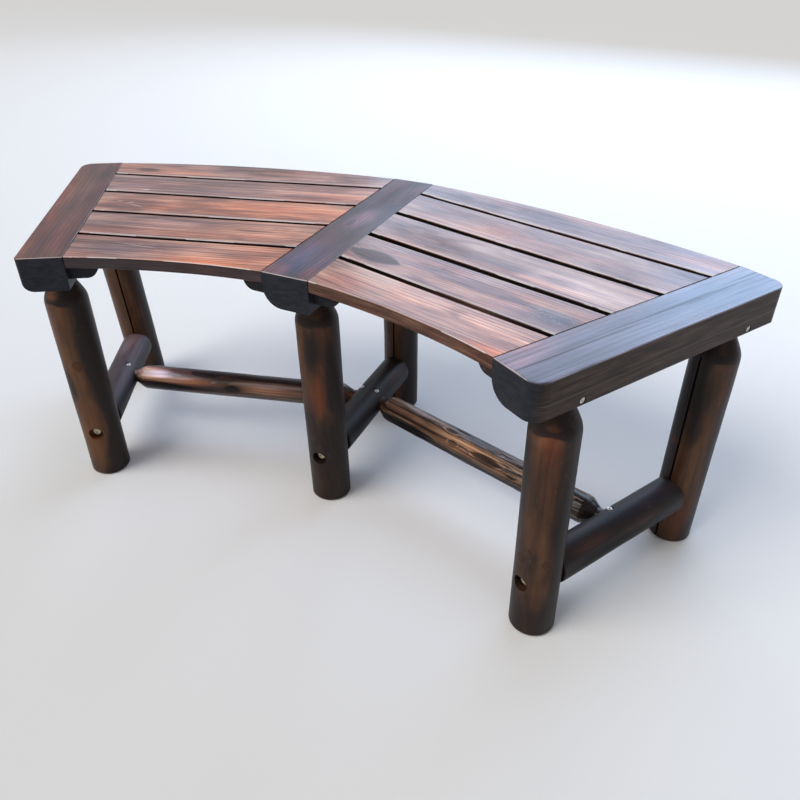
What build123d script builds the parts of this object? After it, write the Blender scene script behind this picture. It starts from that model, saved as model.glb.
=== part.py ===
from build123d import *
import os
from math import cos, radians, sin, sqrt

os.makedirs("parts", exist_ok=True)

# Curved log bench: two panels of slats let in between three crossbeams, which stand on six
# round log legs tied by round stretchers. Millimetres, +Z up, floor at Z = 0, the hollow
# side of the curve towards -Y. Every crossbeam points at one ring centre in front of the seat.

# ---- seat ----
seat_height = 430.0
left_angle = 31.1  # degrees from the centre beam to the left one, about the ring centre
right_angle = 31.7  # degrees from the centre beam to the right one
front_radius = 660.0  # ring centre to the front ends of the beams
back_radius = 1083.0  # ring centre to the back end of the centre beam
end_beam_extra = 9.0  # how much longer the two end beams are, at the back

# ---- crossbeams: a cap board on a rail board ----
beam_width = 71.0
left_beam_taper = 6.0  # how much narrower the left beam is at its front, on its outer side
cap_thickness = 31.0
rail_thickness = 20.0
outer_corner_radius = 20.0  # upright corners of the end beams, seen from above
left_front_corner_radius = 6.0  # the one corner that is hardly rounded
low_left_rounds = {"left": 17.0, "centre": 28.0, "right": 28.0}  # each beam's lower left arris
low_right_round = 2.0
arris = 1.5  # eased top edges of beams and slats

# ---- slats ----
slat_count = 5
slat_thickness = 17.5
slat_gap = 7.0
slat_end_gap = 1.0
first_gap_share = 0.162  # where the first gap lies, as a share of the way from front to back radius
last_gap_share = 0.804
front_edge_rise = 11.0  # how far the front edge bows in between two beams
back_edge_rise = 19.0  # how far the back edge bows out between two beams

# ---- cleats under the slat ends ----
cleat_width = 40.0
cleat_thickness = 21.0
cleat_round = 17.0
cleat_setback = 12.0  # from both ends of the beam

# ---- legs ----
leg_radius = 32.0
front_leg_setback = 73.0  # beam's front end to the leg's axis, under the rail
back_leg_setback = 56.0  # centre beam's back end to the leg's axis, under the rail
tenon_radius = 14.0
tenon_length = 36.0  # above the rail's underside
shoulder_drop = 43.0  # rail's underside down to where the cone starts
neck_drop = 5.0  # rail's underside down to where the cone ends
shoulder_round = 10.0
foot_round = 3.0
kerf_width = 3.0
kerf_depth = 18.0
# how far each log's foot stands off plumb: away from the ring centre, and to the right
leg_leans = {
    ("left", "front"): (9.0, -5.0),
    ("left", "back"): (12.0, 16.0),
    ("centre", "front"): (6.0, 4.0),
    ("centre", "back"): (3.0, 1.0),
    ("right", "front"): (-3.0, 12.0),
    ("right", "back"): (8.0, -1.0),
}

# ---- stretchers ----
stretcher_height = 90.0
cross_radius = 27.5
pocket_depth = 7.0  # how deep a cross stretcher's end is let into a leg
long_radius = 22.5
long_setback = 158.0  # front leg's axis to the long stretchers' joint, along a cross stretcher
long_tenon_radius = 12.5
long_tenon_stop = 7.0  # cross stretcher's axis to the tip of a long stretcher's tenon
long_cone_length = 25.0

# ---- fasteners: head radius, head height, shank radius, counterbore radius ----
wood_screw_size = (4.3, 2.6, 2.0, 4.8)
bolt_size = (6.0, 4.0, 4.0, 11.5)
dome = (0.62, 0.12)  # a point of the head's dome, as shares of its radius and height
rim_drop = 0.62  # of the head's height, from the dome's middle to the rim
recess_size = (1.15, 0.28, 0.6)  # the cross's length and width, of the radius, and depth, of the height
bolt_bore_depth = 11.0
bolt_grip = 52.0  # how far a bolt reaches into a stretcher
leg_screw_length = 52.0
leg_screw_rise = 6.5  # above the rail's underside, in the beam's right side
pin_screw_length = 34.0
pin_offset = 14.0  # cross stretcher's axis to a tenon screw
pin_sink = 1.0
slat_screw_length = 30.0
slat_screw_share = 0.265  # of the slats' pitch, from a slat's middle line to its screws
cleat_screw_length = 46.0
cleat_screw_sink = 14.0
cleat_screw_drop = 7.5  # below the slats
cap_screw_length = 38.0
cap_screw_count = 3
screw_sink = 0.6  # head's top below the wood
pilot_gap = 0.15  # between a shank and its hole, and between a tenon and its socket
seat_gap = 0.3  # between a curved surface and what it seats in

# ---- derived values ----
sides = {"left": -1, "centre": 0, "right": 1}
rows = {"front": 1, "back": -1}  # which way the inside of the frame lies, away from the ring centre
cap_underside = seat_height - cap_thickness
rail_underside = cap_underside - rail_thickness
slat_underside = seat_height - slat_thickness
cleat_underside = slat_underside - cleat_thickness
first_gap_radius = front_radius + first_gap_share * (back_radius - front_radius)
last_gap_radius = front_radius + last_gap_share * (back_radius - front_radius)
slat_pitch = (last_gap_radius - first_gap_radius) / (slat_count - 2)
slat_screw_offset = slat_screw_share * slat_pitch
half_beam = beam_width / 2
beam_angles = {"left": -left_angle, "centre": 0.0, "right": right_angle}
panel_angles = {"left": -left_angle / 2, "right": right_angle / 2}  # each panel's middle line
up = Vector(0, 0, 1)


def heading(angle):
    return Vector(sin(radians(angle)), cos(radians(angle)), 0)


def right_of(angle):
    return Vector(cos(radians(angle)), -sin(radians(angle)), 0)


def beam_back(side):
    return back_radius + (end_beam_extra if sides[side] else 0)


def beam_plan(side, rounded=True):
    # the beam seen from above, X away from the ring centre and Y to the bench's left
    front_left = half_beam - (left_beam_taper if side == "left" else 0)
    with BuildSketch() as plan:
        with BuildLine():
            Polyline(
                (front_radius, -half_beam),
                (beam_back(side), -half_beam),
                (beam_back(side), half_beam),
                (front_radius, front_left),
                close=True,
            )
        make_face()
        if rounded and sides[side]:
            outer = slice(0, 2) if side == "right" else slice(-2, None)
            front_corner = outer_corner_radius if side == "right" else left_front_corner_radius
            fillet(plan.vertices().sort_by(Axis.Y)[outer].sort_by(Axis.X)[-1], outer_corner_radius)
            fillet(plan.vertices().sort_by(Axis.Y)[outer].sort_by(Axis.X)[0], front_corner)
    return plan.sketch


def plan_extents(side):
    # how far a beam reaches from the ring centre, seen from above
    with BuildSketch(Plane(origin=(0, 0, 0), x_dir=heading(beam_angles[side]), z_dir=up)) as placed:
        add(beam_plan(side))
    return placed.sketch.bounding_box()


extents = [plan_extents(side) for side in sides]
ring_centre = Vector(
    -(min(e.min.X for e in extents) + max(e.max.X for e in extents)) / 2,
    -(min(e.min.Y for e in extents) + max(e.max.Y for e in extents)) / 2,
    0,
)


def ring_point(angle, radius, right=0.0, height=0.0):
    return ring_centre + heading(angle) * radius + right_of(angle) * right + up * height


def ring_plane(angle, height):
    # local X away from the ring centre, local Y to the bench's left
    return Plane(origin=ring_point(angle, 0, 0, height), x_dir=heading(angle), z_dir=up)


def leg_top(side, row):
    radius = front_radius + front_leg_setback if row == "front" else back_radius - back_leg_setback
    return ring_point(beam_angles[side], radius, 0, rail_underside)


def leg_foot(side, row):
    angle = beam_angles[side]
    away, right = leg_leans[side, row]
    top = leg_top(side, row)
    return Vector(top.X, top.Y, 0) + heading(angle) * away + right_of(angle) * right


def leg_plane(side, row):
    foot = leg_foot(side, row)
    axis = (leg_top(side, row) - foot).normalized()
    return Plane(origin=foot, x_dir=heading(beam_angles[side]), z_dir=axis)


def leg_length(side, row):
    return (leg_top(side, row) - leg_foot(side, row)).length


def axis_at(side, row, height):
    # the point of a leg's axis at one height
    foot = leg_foot(side, row)
    return foot + (leg_top(side, row) - foot) * (height / rail_underside)


def stretcher_run(side):
    # a cross stretcher's line, from the front leg's axis to the back leg's axis
    start = axis_at(side, "front", stretcher_height)
    end = axis_at(side, "back", stretcher_height)
    return start, (end - start).normalized(), (end - start).length


def joint_point(side):
    start, direction, _ = stretcher_run(side)
    return start + direction * long_setback


# ---- fastener places: a plane at the wood's surface, its Z out of the hole's mouth ----
def leg_screw_place(side, row):
    right = right_of(beam_angles[side])
    axis = axis_at(side, row, rail_underside + leg_screw_rise)
    surface = axis + right * (half_beam - (axis - ring_centre).dot(right))
    return Plane(origin=surface, x_dir=up, z_dir=right)


def bolt_place(side, row):
    start, direction, length = stretcher_run(side)
    centre = start if row == "front" else start + direction * length
    outwards = direction * -rows[row]
    return Plane(origin=centre + outwards * leg_radius, x_dir=up, z_dir=outwards)


def pin_place(side, other):
    # the screw on top of a cross stretcher that pins the tenon of the long stretcher to "other"
    along = (joint_point(other) - joint_point(side)).normalized()
    _, direction, _ = stretcher_run(side)
    offset = pin_offset / abs(along.cross(direction).Z)
    rise = sqrt(cross_radius**2 - pin_offset**2)
    return Plane(origin=joint_point(side) + along * offset + up * rise, z_dir=up)


def cap_screw_place(side, number):
    first = front_radius + front_leg_setback
    span = back_radius - back_leg_setback - first
    radius = first + span * (number + 1) / (cap_screw_count + 1)
    return Plane(origin=ring_point(beam_angles[side], radius, 0, rail_underside), z_dir=-up)


# each cleat's beam, which side of the beam it is on, and its panel
cleats = {
    "cleat_left": ("left", 1, "left"),
    "cleat_centre_left": ("centre", -1, "left"),
    "cleat_centre_right": ("centre", 1, "right"),
    "cleat_right": ("right", -1, "right"),
}


def gap_radius(number):
    return first_gap_radius + number * slat_pitch


def slat_middle(number):
    # ring centre to a slat's middle line; the first slat is screwed half a width before its gap
    return gap_radius(number) - slat_pitch / 2


def along_beam(distance, right, panel):
    # where a line across a panel, at its distance from the ring centre, crosses a line along a beam
    slant = radians(abs(panel_angles[panel]))
    return (distance - right * sin(slant)) / cos(slant)


def slat_screw_offsets(number):
    # the back slat is narrow at its ends, so one screw a side holds it
    if number == slat_count - 1:
        return [-slat_screw_offset / 2]
    return [-slat_screw_offset, slat_screw_offset]


def slat_screw_places(cleat, number):
    side, inwards, panel = cleats[cleat]
    right = half_beam + cleat_width / 2
    places = []
    for offset in slat_screw_offsets(number):
        middle = slat_middle(number) + (offset / 2 if number == 0 else offset)
        radius = along_beam(middle, right, panel)
        point = ring_point(beam_angles[side], radius, right * inwards, cleat_underside)
        places.append(Plane(origin=point, z_dir=-up))
    return places


def cleat_screw_places(cleat):
    side, inwards, panel = cleats[cleat]
    angle = beam_angles[side]
    right = half_beam + cleat_width
    height = slat_underside - cleat_screw_drop
    places = []
    for number in range(1, slat_count - 1):
        radius = along_beam(slat_middle(number), half_beam + cleat_width / 2, panel)
        point = ring_point(angle, radius, right * inwards, height)
        places.append(Plane(origin=point, x_dir=up, z_dir=right_of(angle) * inwards))
    return places


# ---- fasteners ----
def make_screw(size, length):
    # the head's top lies in the XY plane and the shank points down
    head_radius, head_height, shank_radius, _ = size
    recess_length, recess_width, recess_depth = recess_size
    tip = 2 * shank_radius
    with BuildPart() as screw:
        with BuildSketch(Plane.XZ):
            with BuildLine():
                rim = (head_radius, -head_height * rim_drop)
                ThreePointArc((0, 0), (head_radius * dome[0], -head_height * dome[1]), rim)
                Line(rim, (head_radius, -head_height))
                Line((head_radius, -head_height), (shank_radius, -head_height))
                Line((shank_radius, -head_height), (shank_radius, tip - length))
                Line((shank_radius, tip - length), (0, -length))
                Line((0, -length), (0, 0))
            make_face()
        revolve(axis=Axis.Z)
        with BuildSketch(Plane.XY):
            Rectangle(head_radius * recess_length, head_radius * recess_width)
            Rectangle(head_radius * recess_width, head_radius * recess_length)
        extrude(amount=-head_height * recess_depth, mode=Mode.SUBTRACT)
    return screw.part


def sunk(place, depth):
    return Plane(origin=place.origin - place.z_dir * depth, x_dir=place.x_dir, z_dir=place.z_dir)


def write_fasteners(name, size, length, places, sink):
    screw = make_screw(size, length)
    with BuildPart() as fasteners:
        with Locations(*[sunk(place, sink) for place in places]):
            add(screw)
    fasteners.part.label = name
    export_step(fasteners.part, f"parts/{name}.step")


def cut_screw_holes(places, size, length, sink):
    # a pilot hole and a counterbore for each head, cut from whatever part is open
    _, head_height, shank_radius, bore_radius = size
    with Locations(*places):
        CounterBoreHole(
            radius=shank_radius + pilot_gap,
            counter_bore_radius=bore_radius,
            counter_bore_depth=sink + head_height,
            depth=sink + length + seat_gap,
        )


bolt_length = 2 * leg_radius - bolt_bore_depth - pocket_depth + bolt_size[1] + bolt_grip
bolt_sink = bolt_bore_depth - bolt_size[1]
leg_screw_places = {(s, r): leg_screw_place(s, r) for s in sides for r in rows}
bolt_places = {(s, r): bolt_place(s, r) for s in sides for r in rows}
pin_pairs = [("left", "centre"), ("centre", "left"), ("centre", "right"), ("right", "centre")]
pin_places = {pair: pin_place(*pair) for pair in pin_pairs}
cap_screw_places = {s: [cap_screw_place(s, n) for n in range(cap_screw_count)] for s in sides}
all_slat_places = [p for c in cleats for n in range(slat_count) for p in slat_screw_places(c, n)]
all_cleat_places = [p for c in cleats for p in cleat_screw_places(c)]
all_cap_places = [p for s in sides for p in cap_screw_places[s]]

write_fasteners("leg_screws", wood_screw_size, leg_screw_length, leg_screw_places.values(), screw_sink)
write_fasteners("leg_bolts", bolt_size, bolt_length, bolt_places.values(), bolt_sink)
write_fasteners("stretcher_screws", wood_screw_size, pin_screw_length, pin_places.values(), pin_sink)
write_fasteners("cap_screws", wood_screw_size, cap_screw_length, all_cap_places, screw_sink)
write_fasteners("slat_screws", wood_screw_size, slat_screw_length, all_slat_places, screw_sink)
write_fasteners("cleat_screws", wood_screw_size, cleat_screw_length, all_cleat_places, cleat_screw_sink)

tenon_socket_radius = tenon_radius + pilot_gap
tenon_socket_start = -neck_drop  # along the leg's axis, from the rail's underside
tenon_socket_length = tenon_length + neck_drop + seat_gap


def socket_planes(side):
    planes = []
    for row in rows:
        axis = leg_plane(side, row).z_dir
        planes.append(Plane(origin=leg_top(side, row) + axis * tenon_socket_start, z_dir=axis))
    return planes


# ---- crossbeams ----
for side in sides:
    beam_angle = beam_angles[side]
    screws_here = [leg_screw_places[side, row] for row in rows]
    cleats_here = [c for c in cleats if cleats[c][0] == side]
    cleat_places = [p for c in cleats_here for p in cleat_screw_places(c)]

    with BuildPart() as beam:
        with BuildSketch(ring_plane(beam_angle, rail_underside)):
            add(beam_plan(side, rounded=False))
        extrude(amount=seat_height - rail_underside)
        across = Axis(ring_point(beam_angle, front_radius), right_of(beam_angle))
        fillet(beam.faces().sort_by(Axis.Z)[0].edges().sort_by(across)[0], low_left_rounds[side])
        fillet(beam.faces().sort_by(Axis.Z)[0].edges().sort_by(across)[-1], low_right_round)
        with BuildSketch(ring_plane(beam_angle, rail_underside)):
            add(beam_plan(side))
        extrude(amount=seat_height - rail_underside, mode=Mode.INTERSECT)
        fillet(beam.faces().sort_by(Axis.Z)[-1].edges(), arris)

    with BuildPart() as cap:
        add(beam.part)
        split(bisect_by=Plane.XY.offset(cap_underside), keep=Keep.TOP)
        with Locations(*socket_planes(side)):
            Cylinder(
                tenon_socket_radius,
                tenon_socket_length,
                align=(Align.CENTER, Align.CENTER, Align.MIN),
                mode=Mode.SUBTRACT,
            )
        cut_screw_holes(cap_screw_places[side], wood_screw_size, cap_screw_length, screw_sink)
        cut_screw_holes(cleat_places, wood_screw_size, cleat_screw_length, cleat_screw_sink)
    cap.part.label = f"cap_{side}"
    export_step(cap.part, f"parts/cap_{side}.step")

    with BuildPart() as rail:
        add(beam.part)
        split(bisect_by=Plane.XY.offset(cap_underside), keep=Keep.BOTTOM)
        with Locations(*socket_planes(side)):
            Cylinder(
                tenon_socket_radius,
                tenon_socket_length,
                align=(Align.CENTER, Align.CENTER, Align.MIN),
                mode=Mode.SUBTRACT,
            )
        cut_screw_holes(screws_here, wood_screw_size, leg_screw_length, screw_sink)
        cut_screw_holes(cap_screw_places[side], wood_screw_size, cap_screw_length, screw_sink)
    rail.part.label = f"rail_{side}"
    export_step(rail.part, f"parts/rail_{side}.step")

# ---- cleats ----
for name, (side, inwards, _) in cleats.items():
    beam_angle = beam_angles[side]
    cleat_front = front_radius + cleat_setback
    cleat_length = beam_back(side) - cleat_setback - cleat_front
    beam_side = ring_point(beam_angle, cleat_front, half_beam * inwards, cleat_underside)
    with BuildPart() as cleat:
        with BuildSketch(Plane(origin=beam_side, x_dir=right_of(beam_angle), z_dir=-heading(beam_angle))):
            with Locations((inwards * cleat_width / 2, cleat_thickness / 2)):
                section = Rectangle(cleat_width, cleat_thickness)
            outer_low = section.vertices().group_by(Axis.Y)[0].sort_by(Axis.X)[-1 if inwards > 0 else 0]
            fillet(outer_low, cleat_round)
        extrude(amount=-cleat_length)
        for number in range(slat_count):
            cut_screw_holes(slat_screw_places(name, number), wood_screw_size, slat_screw_length, screw_sink)
        cut_screw_holes(cleat_screw_places(name), wood_screw_size, cleat_screw_length, cleat_screw_sink)
    cleat.part.label = name
    export_step(cleat.part, f"parts/{name}.step")


# ---- slats ----
def panel_corner(radius, slant):
    # where a beam's end meets a panel, along and across the panel's middle line
    inset = half_beam + slat_end_gap
    return radius * cos(slant) + inset * sin(slant), radius * sin(slant) - inset * cos(slant)


slat_ends = {"left": ("cleat_left", "cleat_centre_left"), "right": ("cleat_centre_right", "cleat_right")}

for side, ends in slat_ends.items():
    hand = sides[side]
    slant = radians(abs(panel_angles[side]))
    front_along, front_across = panel_corner(front_radius, slant)
    inner_along, inner_across = panel_corner(back_radius, slant)
    outer_along, outer_across = panel_corner(back_radius + end_beam_extra, slant)
    front_arc = (front_along, hand * front_across), (front_along, -hand * front_across)
    back_arc = (outer_along, -hand * outer_across), (inner_along, hand * inner_across)
    front_middle = (front_along + front_edge_rise, 0)
    back_along = (inner_along + outer_along) / 2 + back_edge_rise
    back_middle = (back_along, hand * (inner_across - outer_across) / 2)
    for number in range(slat_count):
        near = 0 if number == 0 else gap_radius(number - 1) + slat_gap / 2
        far = 2 * back_radius if number == slat_count - 1 else gap_radius(number) - slat_gap / 2
        with BuildPart() as slat:
            with BuildSketch(ring_plane(panel_angles[side], slat_underside)):
                with BuildLine():
                    ThreePointArc(front_arc[0], front_middle, front_arc[1])
                    Line(front_arc[1], back_arc[0])
                    ThreePointArc(back_arc[0], back_middle, back_arc[1])
                    Line(back_arc[1], front_arc[0])
                make_face()
                with Locations(((near + far) / 2, 0)):
                    Rectangle(far - near, 2 * back_radius, mode=Mode.INTERSECT)
            extrude(amount=slat_thickness)
            fillet(slat.faces().sort_by(Axis.Z)[-1].edges(), arris)
            for cleat_name in ends:
                places = slat_screw_places(cleat_name, number)
                cut_screw_holes(places, wood_screw_size, slat_screw_length, screw_sink)
        slat.part.label = f"slat_{side}_{number + 1}"
        export_step(slat.part, f"parts/slat_{side}_{number + 1}.step")

# ---- legs ----
for side in sides:
    for row in rows:
        foot_plane = leg_plane(side, row)
        axis_length = leg_length(side, row)
        shoulder = axis_length - shoulder_drop
        start, direction, run = stretcher_run(side)
        centre = start if row == "front" else start + direction * run
        inside_face = centre + direction * rows[row] * leg_radius
        with BuildPart() as leg:
            sketch_plane = Plane(origin=foot_plane.origin, x_dir=foot_plane.x_dir, z_dir=-foot_plane.y_dir)
            with BuildSketch(sketch_plane) as profile:
                with BuildLine():
                    Polyline(
                        (0, -leg_radius),
                        (leg_radius, -leg_radius),
                        (leg_radius, shoulder),
                        (tenon_radius, axis_length - neck_drop),
                        (tenon_radius, axis_length + tenon_length),
                        (0, axis_length + tenon_length),
                        close=True,
                    )
                make_face()
                fillet(profile.vertices().group_by(Axis.X)[-1].sort_by(Axis.Y)[-1], shoulder_round)
            revolve(axis=Axis(foot_plane.origin, foot_plane.z_dir))
            split(bisect_by=Plane.XY, keep=Keep.TOP)
            fillet(leg.faces().sort_by(Axis.Z)[0].edges(), foot_round)
            kerf_foot = foot_plane.offset(-leg_radius)
            with BuildSketch(kerf_foot):
                with Locations((rows[row] * (leg_radius - kerf_depth / 2), 0)):
                    Rectangle(kerf_depth, kerf_width)
            extrude(amount=shoulder + leg_radius, mode=Mode.SUBTRACT)
            with Locations(Plane(origin=inside_face, z_dir=direction * rows[row])):
                Hole(cross_radius + seat_gap, pocket_depth + seat_gap)
            cut_screw_holes([bolt_places[side, row]], bolt_size, bolt_length, bolt_sink)
            cut_screw_holes([leg_screw_places[side, row]], wood_screw_size, leg_screw_length, screw_sink)
        leg.part.label = f"leg_{side}_{row}"
        export_step(leg.part, f"parts/leg_{side}_{row}.step")

# ---- cross stretchers: one under each beam, from front leg to back leg ----
for side in sides:
    start, direction, run = stretcher_run(side)
    let_in = leg_radius - pocket_depth
    neighbours = [pair[1] for pair in pin_pairs if pair[0] == side]
    with BuildPart() as cross:
        with BuildSketch(Plane(origin=start + direction * let_in, z_dir=direction)):
            Circle(cross_radius)
        extrude(amount=run - 2 * let_in)
        chamfer(cross.edges().filter_by(GeomType.CIRCLE), arris)
        for other in neighbours:
            along = (joint_point(other) - joint_point(side)).normalized()
            mouth = joint_point(side) + along * 2 * cross_radius
            with Locations(Plane(origin=mouth, z_dir=along)):
                Hole(long_tenon_radius + pilot_gap, 2 * cross_radius - long_tenon_stop + seat_gap)
        pins = [pin_places[side, other] for other in neighbours]
        cut_screw_holes(pins, wood_screw_size, pin_screw_length, pin_sink)
        bolts = [bolt_places[side, row] for row in rows]
        cut_screw_holes(bolts, bolt_size, bolt_length, bolt_sink)
    cross.part.label = f"cross_stretcher_{side}"
    export_step(cross.part, f"parts/cross_stretcher_{side}.step")

# ---- long stretchers: tenoned into the middle of two cross stretchers ----
def cone_start(side, along):
    # from the cross stretcher's axis to where the whole tenon has left its round surface
    _, direction, _ = stretcher_run(side)
    slant = abs(along.dot(direction))
    return (cross_radius + long_tenon_radius * slant) / sqrt(1 - slant**2) + seat_gap


for side in ("left", "right"):
    near_point = joint_point("centre")
    far_point = joint_point(side)
    reach = (far_point - near_point).length
    along = (far_point - near_point).normalized()
    cone_starts = [cone_start("centre", along), cone_start(side, along)]
    cone_ends = [place + long_cone_length for place in cone_starts]
    with BuildPart() as long:
        with BuildSketch(Plane(origin=near_point, x_dir=along, z_dir=along.cross(up))):
            with BuildLine():
                Polyline(
                    (long_tenon_stop, 0),
                    (long_tenon_stop, long_tenon_radius),
                    (cone_starts[0], long_tenon_radius),
                    (cone_ends[0], long_radius),
                    (reach - cone_ends[1], long_radius),
                    (reach - cone_starts[1], long_tenon_radius),
                    (reach - long_tenon_stop, long_tenon_radius),
                    (reach - long_tenon_stop, 0),
                    close=True,
                )
            make_face()
        revolve(axis=Axis(near_point, along))
        pins = [pin_places["centre", side], pin_places[side, "centre"]]
        cut_screw_holes(pins, wood_screw_size, pin_screw_length, pin_sink)
    long.part.label = f"long_stretcher_{side}"
    export_step(long.part, f"parts/long_stretcher_{side}.step")
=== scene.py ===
import math
import bmesh
import bpy
import numpy as np
from mathutils import Matrix, Vector


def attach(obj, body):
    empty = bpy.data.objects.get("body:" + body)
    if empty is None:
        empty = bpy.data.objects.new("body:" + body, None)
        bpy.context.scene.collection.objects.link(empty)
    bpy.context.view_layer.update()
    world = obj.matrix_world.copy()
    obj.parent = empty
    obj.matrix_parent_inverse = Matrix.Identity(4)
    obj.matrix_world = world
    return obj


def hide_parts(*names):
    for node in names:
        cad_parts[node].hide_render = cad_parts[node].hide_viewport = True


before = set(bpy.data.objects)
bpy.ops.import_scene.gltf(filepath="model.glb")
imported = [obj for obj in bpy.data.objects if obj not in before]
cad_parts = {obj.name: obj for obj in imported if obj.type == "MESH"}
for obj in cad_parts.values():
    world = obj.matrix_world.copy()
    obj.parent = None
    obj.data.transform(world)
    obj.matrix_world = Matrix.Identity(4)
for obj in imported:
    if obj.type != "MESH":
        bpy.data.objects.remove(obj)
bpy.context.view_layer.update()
scene = bpy.context.scene
print("frame loaded:", len(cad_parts), "nodes")

# the layout shared with the frame, in metres and degrees
bench = {
    "ring": (-0.004868, -0.816703),  # the point that all three beams aim at
    "angles": {"left": -31.1, "centre": 0.0, "right": 31.7},
    "frontRadius": 0.660,
    "backRadius": 1.083,
    "endBeamExtra": 0.009,
    "seatHeight": 0.430,
    "railUnderside": 0.379,
    "halfBeam": 0.0355,
    "glueLine": 0.031,  # how far under the top a cap meets its rail
}
upwards = Vector((0, 0, 1))


def heading(angle):
    return Vector((math.sin(math.radians(angle)), math.cos(math.radians(angle)), 0))


def rightOf(angle):
    return Vector((math.cos(math.radians(angle)), -math.sin(math.radians(angle)), 0))


def ringPoint(angle, radius, height=0.0):
    return Vector((*bench["ring"], height)) + heading(angle) * radius


def axesAt(origin, x, y, z):
    return Matrix.Translation(origin) @ Matrix((x, y, z)).transposed().to_4x4()


# nodes written as plain sums
def operator(operation, swapped=False):
    def apply(self, other):
        values = (other, self) if swapped else (self, other)
        return self.graph.maths(operation, *values)
    return apply


class Num:
    def __init__(self, graph, socket):
        self.graph = graph
        self.socket = socket

    __add__ = __radd__ = operator("ADD")
    __mul__ = __rmul__ = operator("MULTIPLY")
    __sub__ = operator("SUBTRACT")
    __rsub__ = operator("SUBTRACT", swapped=True)
    __truediv__ = operator("DIVIDE")


class Graph:
    def __init__(self, tree):
        self.tree = tree

    def node(self, kind, settings=None, values=None):
        made = self.tree.nodes.new(kind)
        for name, value in (settings or {}).items():
            if name == "stops":
                self.setStops(made.color_ramp, value)
            else:
                setattr(made, name, value)
        for name, value in (values or {}).items():
            self.join(value, made.inputs[name])
        return made

    def out(self, kind, settings=None, values=None):  # a node's first output
        return self.node(kind, settings, values).outputs[0]

    def setStops(self, ramp, stops):
        while len(ramp.elements) < len(stops):
            ramp.elements.new(1.0)
        for element, (place, colour) in zip(ramp.elements, stops):
            element.position = place
            element.color = (*colour, 1.0)

    def join(self, value, socket):
        if isinstance(value, Num):
            value = value.socket
        if isinstance(value, bpy.types.NodeSocket):
            self.tree.links.new(value, socket)
        else:
            socket.default_value = value

    def maths(self, operation, *values, clamp=False):
        settings = {"operation": operation, "use_clamp": clamp}
        return Num(self, self.out("ShaderNodeMath", settings, dict(enumerate(values))))

    def lowest(self, first, *others):
        for value in others:
            first = self.maths("MINIMUM", first, value)
        return first

    def hypot(self, first, second):
        return self.maths("SQRT", first * first + second * second)

    def step(self, value, low, high):  # 0 below low, 1 above high, smooth between
        values = {"Value": value, "From Min": low, "From Max": high}
        return Num(self, self.out("ShaderNodeMapRange", {"interpolation_type": "SMOOTHSTEP"}, values))

    def fade(self, value, low, high):  # 1 below low, 0 above high
        return 1 - self.step(value, low, high)

    def vector(self, x, y, z):
        return self.out("ShaderNodeCombineXYZ", None, {0: x, 1: y, 2: z})

    def split(self, vector):
        return [Num(self, socket) for socket in self.node("ShaderNodeSeparateXYZ", None, {0: vector}).outputs]

    def stretch(self, vector, amounts):
        return self.out("ShaderNodeVectorMath", {"operation": "MULTIPLY"}, {0: vector, 1: amounts})

    def noise(self, vector, seed, detail=2.0, roughness=0.5, distortion=0.0):
        values = {"Vector": vector, "W": seed, "Scale": 1.0, "Detail": detail}
        values.update({"Roughness": roughness, "Distortion": distortion})
        return Num(self, self.out("ShaderNodeTexNoise", {"noise_dimensions": "4D"}, values))

    def ramp(self, stops, factor):
        return self.out("ShaderNodeValToRGB", {"stops": stops}, {0: factor})

    def blend(self, factor, first, second, way="MIX"):
        settings = {"data_type": "RGBA", "blend_type": way}
        return self.node("ShaderNodeMix", settings, {0: factor, 6: first, 7: second}).outputs[2]

    def attribute(self, name, output="Fac"):
        socket = self.node("ShaderNodeAttribute", {"attribute_name": name}).outputs[output]
        return Num(self, socket) if output == "Fac" else socket

    def capture(self, geometry, value, form="VECTOR"):  # the geometry, and the value that it keeps
        made = self.node("GeometryNodeCaptureAttribute")
        made.capture_items.new(form, "kept")
        self.join(geometry, made.inputs[0])
        self.join(value, made.inputs[1])
        return made.outputs[0], made.outputs[1]

    def sweep(self, rail, section):
        values = {"Curve": rail, "Profile Curve": section, "Fill Caps": True}
        return self.out("GeometryNodeCurveToMesh", None, values)

    def moved(self, geometry, position):
        return self.out("GeometryNodeSetPosition", None, {"Geometry": geometry, "Position": position})


def rgb(red, green, blue):
    return (red, green, blue, 1.0)


def shades(places, *colours):
    # the stops of a ramp, with their colours in thousandths
    return [(place, tuple(part / 1000 for part in colour)) for place, colour in zip(places, colours)]


def startMaterial(name):
    material = bpy.data.materials.new(name)
    material.use_nodes = True
    material.node_tree.nodes.clear()
    return material, Graph(material.node_tree)


def endMaterial(graph, values):
    skin = graph.out("ShaderNodeBsdfPrincipled", None, values)
    graph.node("ShaderNodeOutputMaterial", None, {0: skin})


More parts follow.
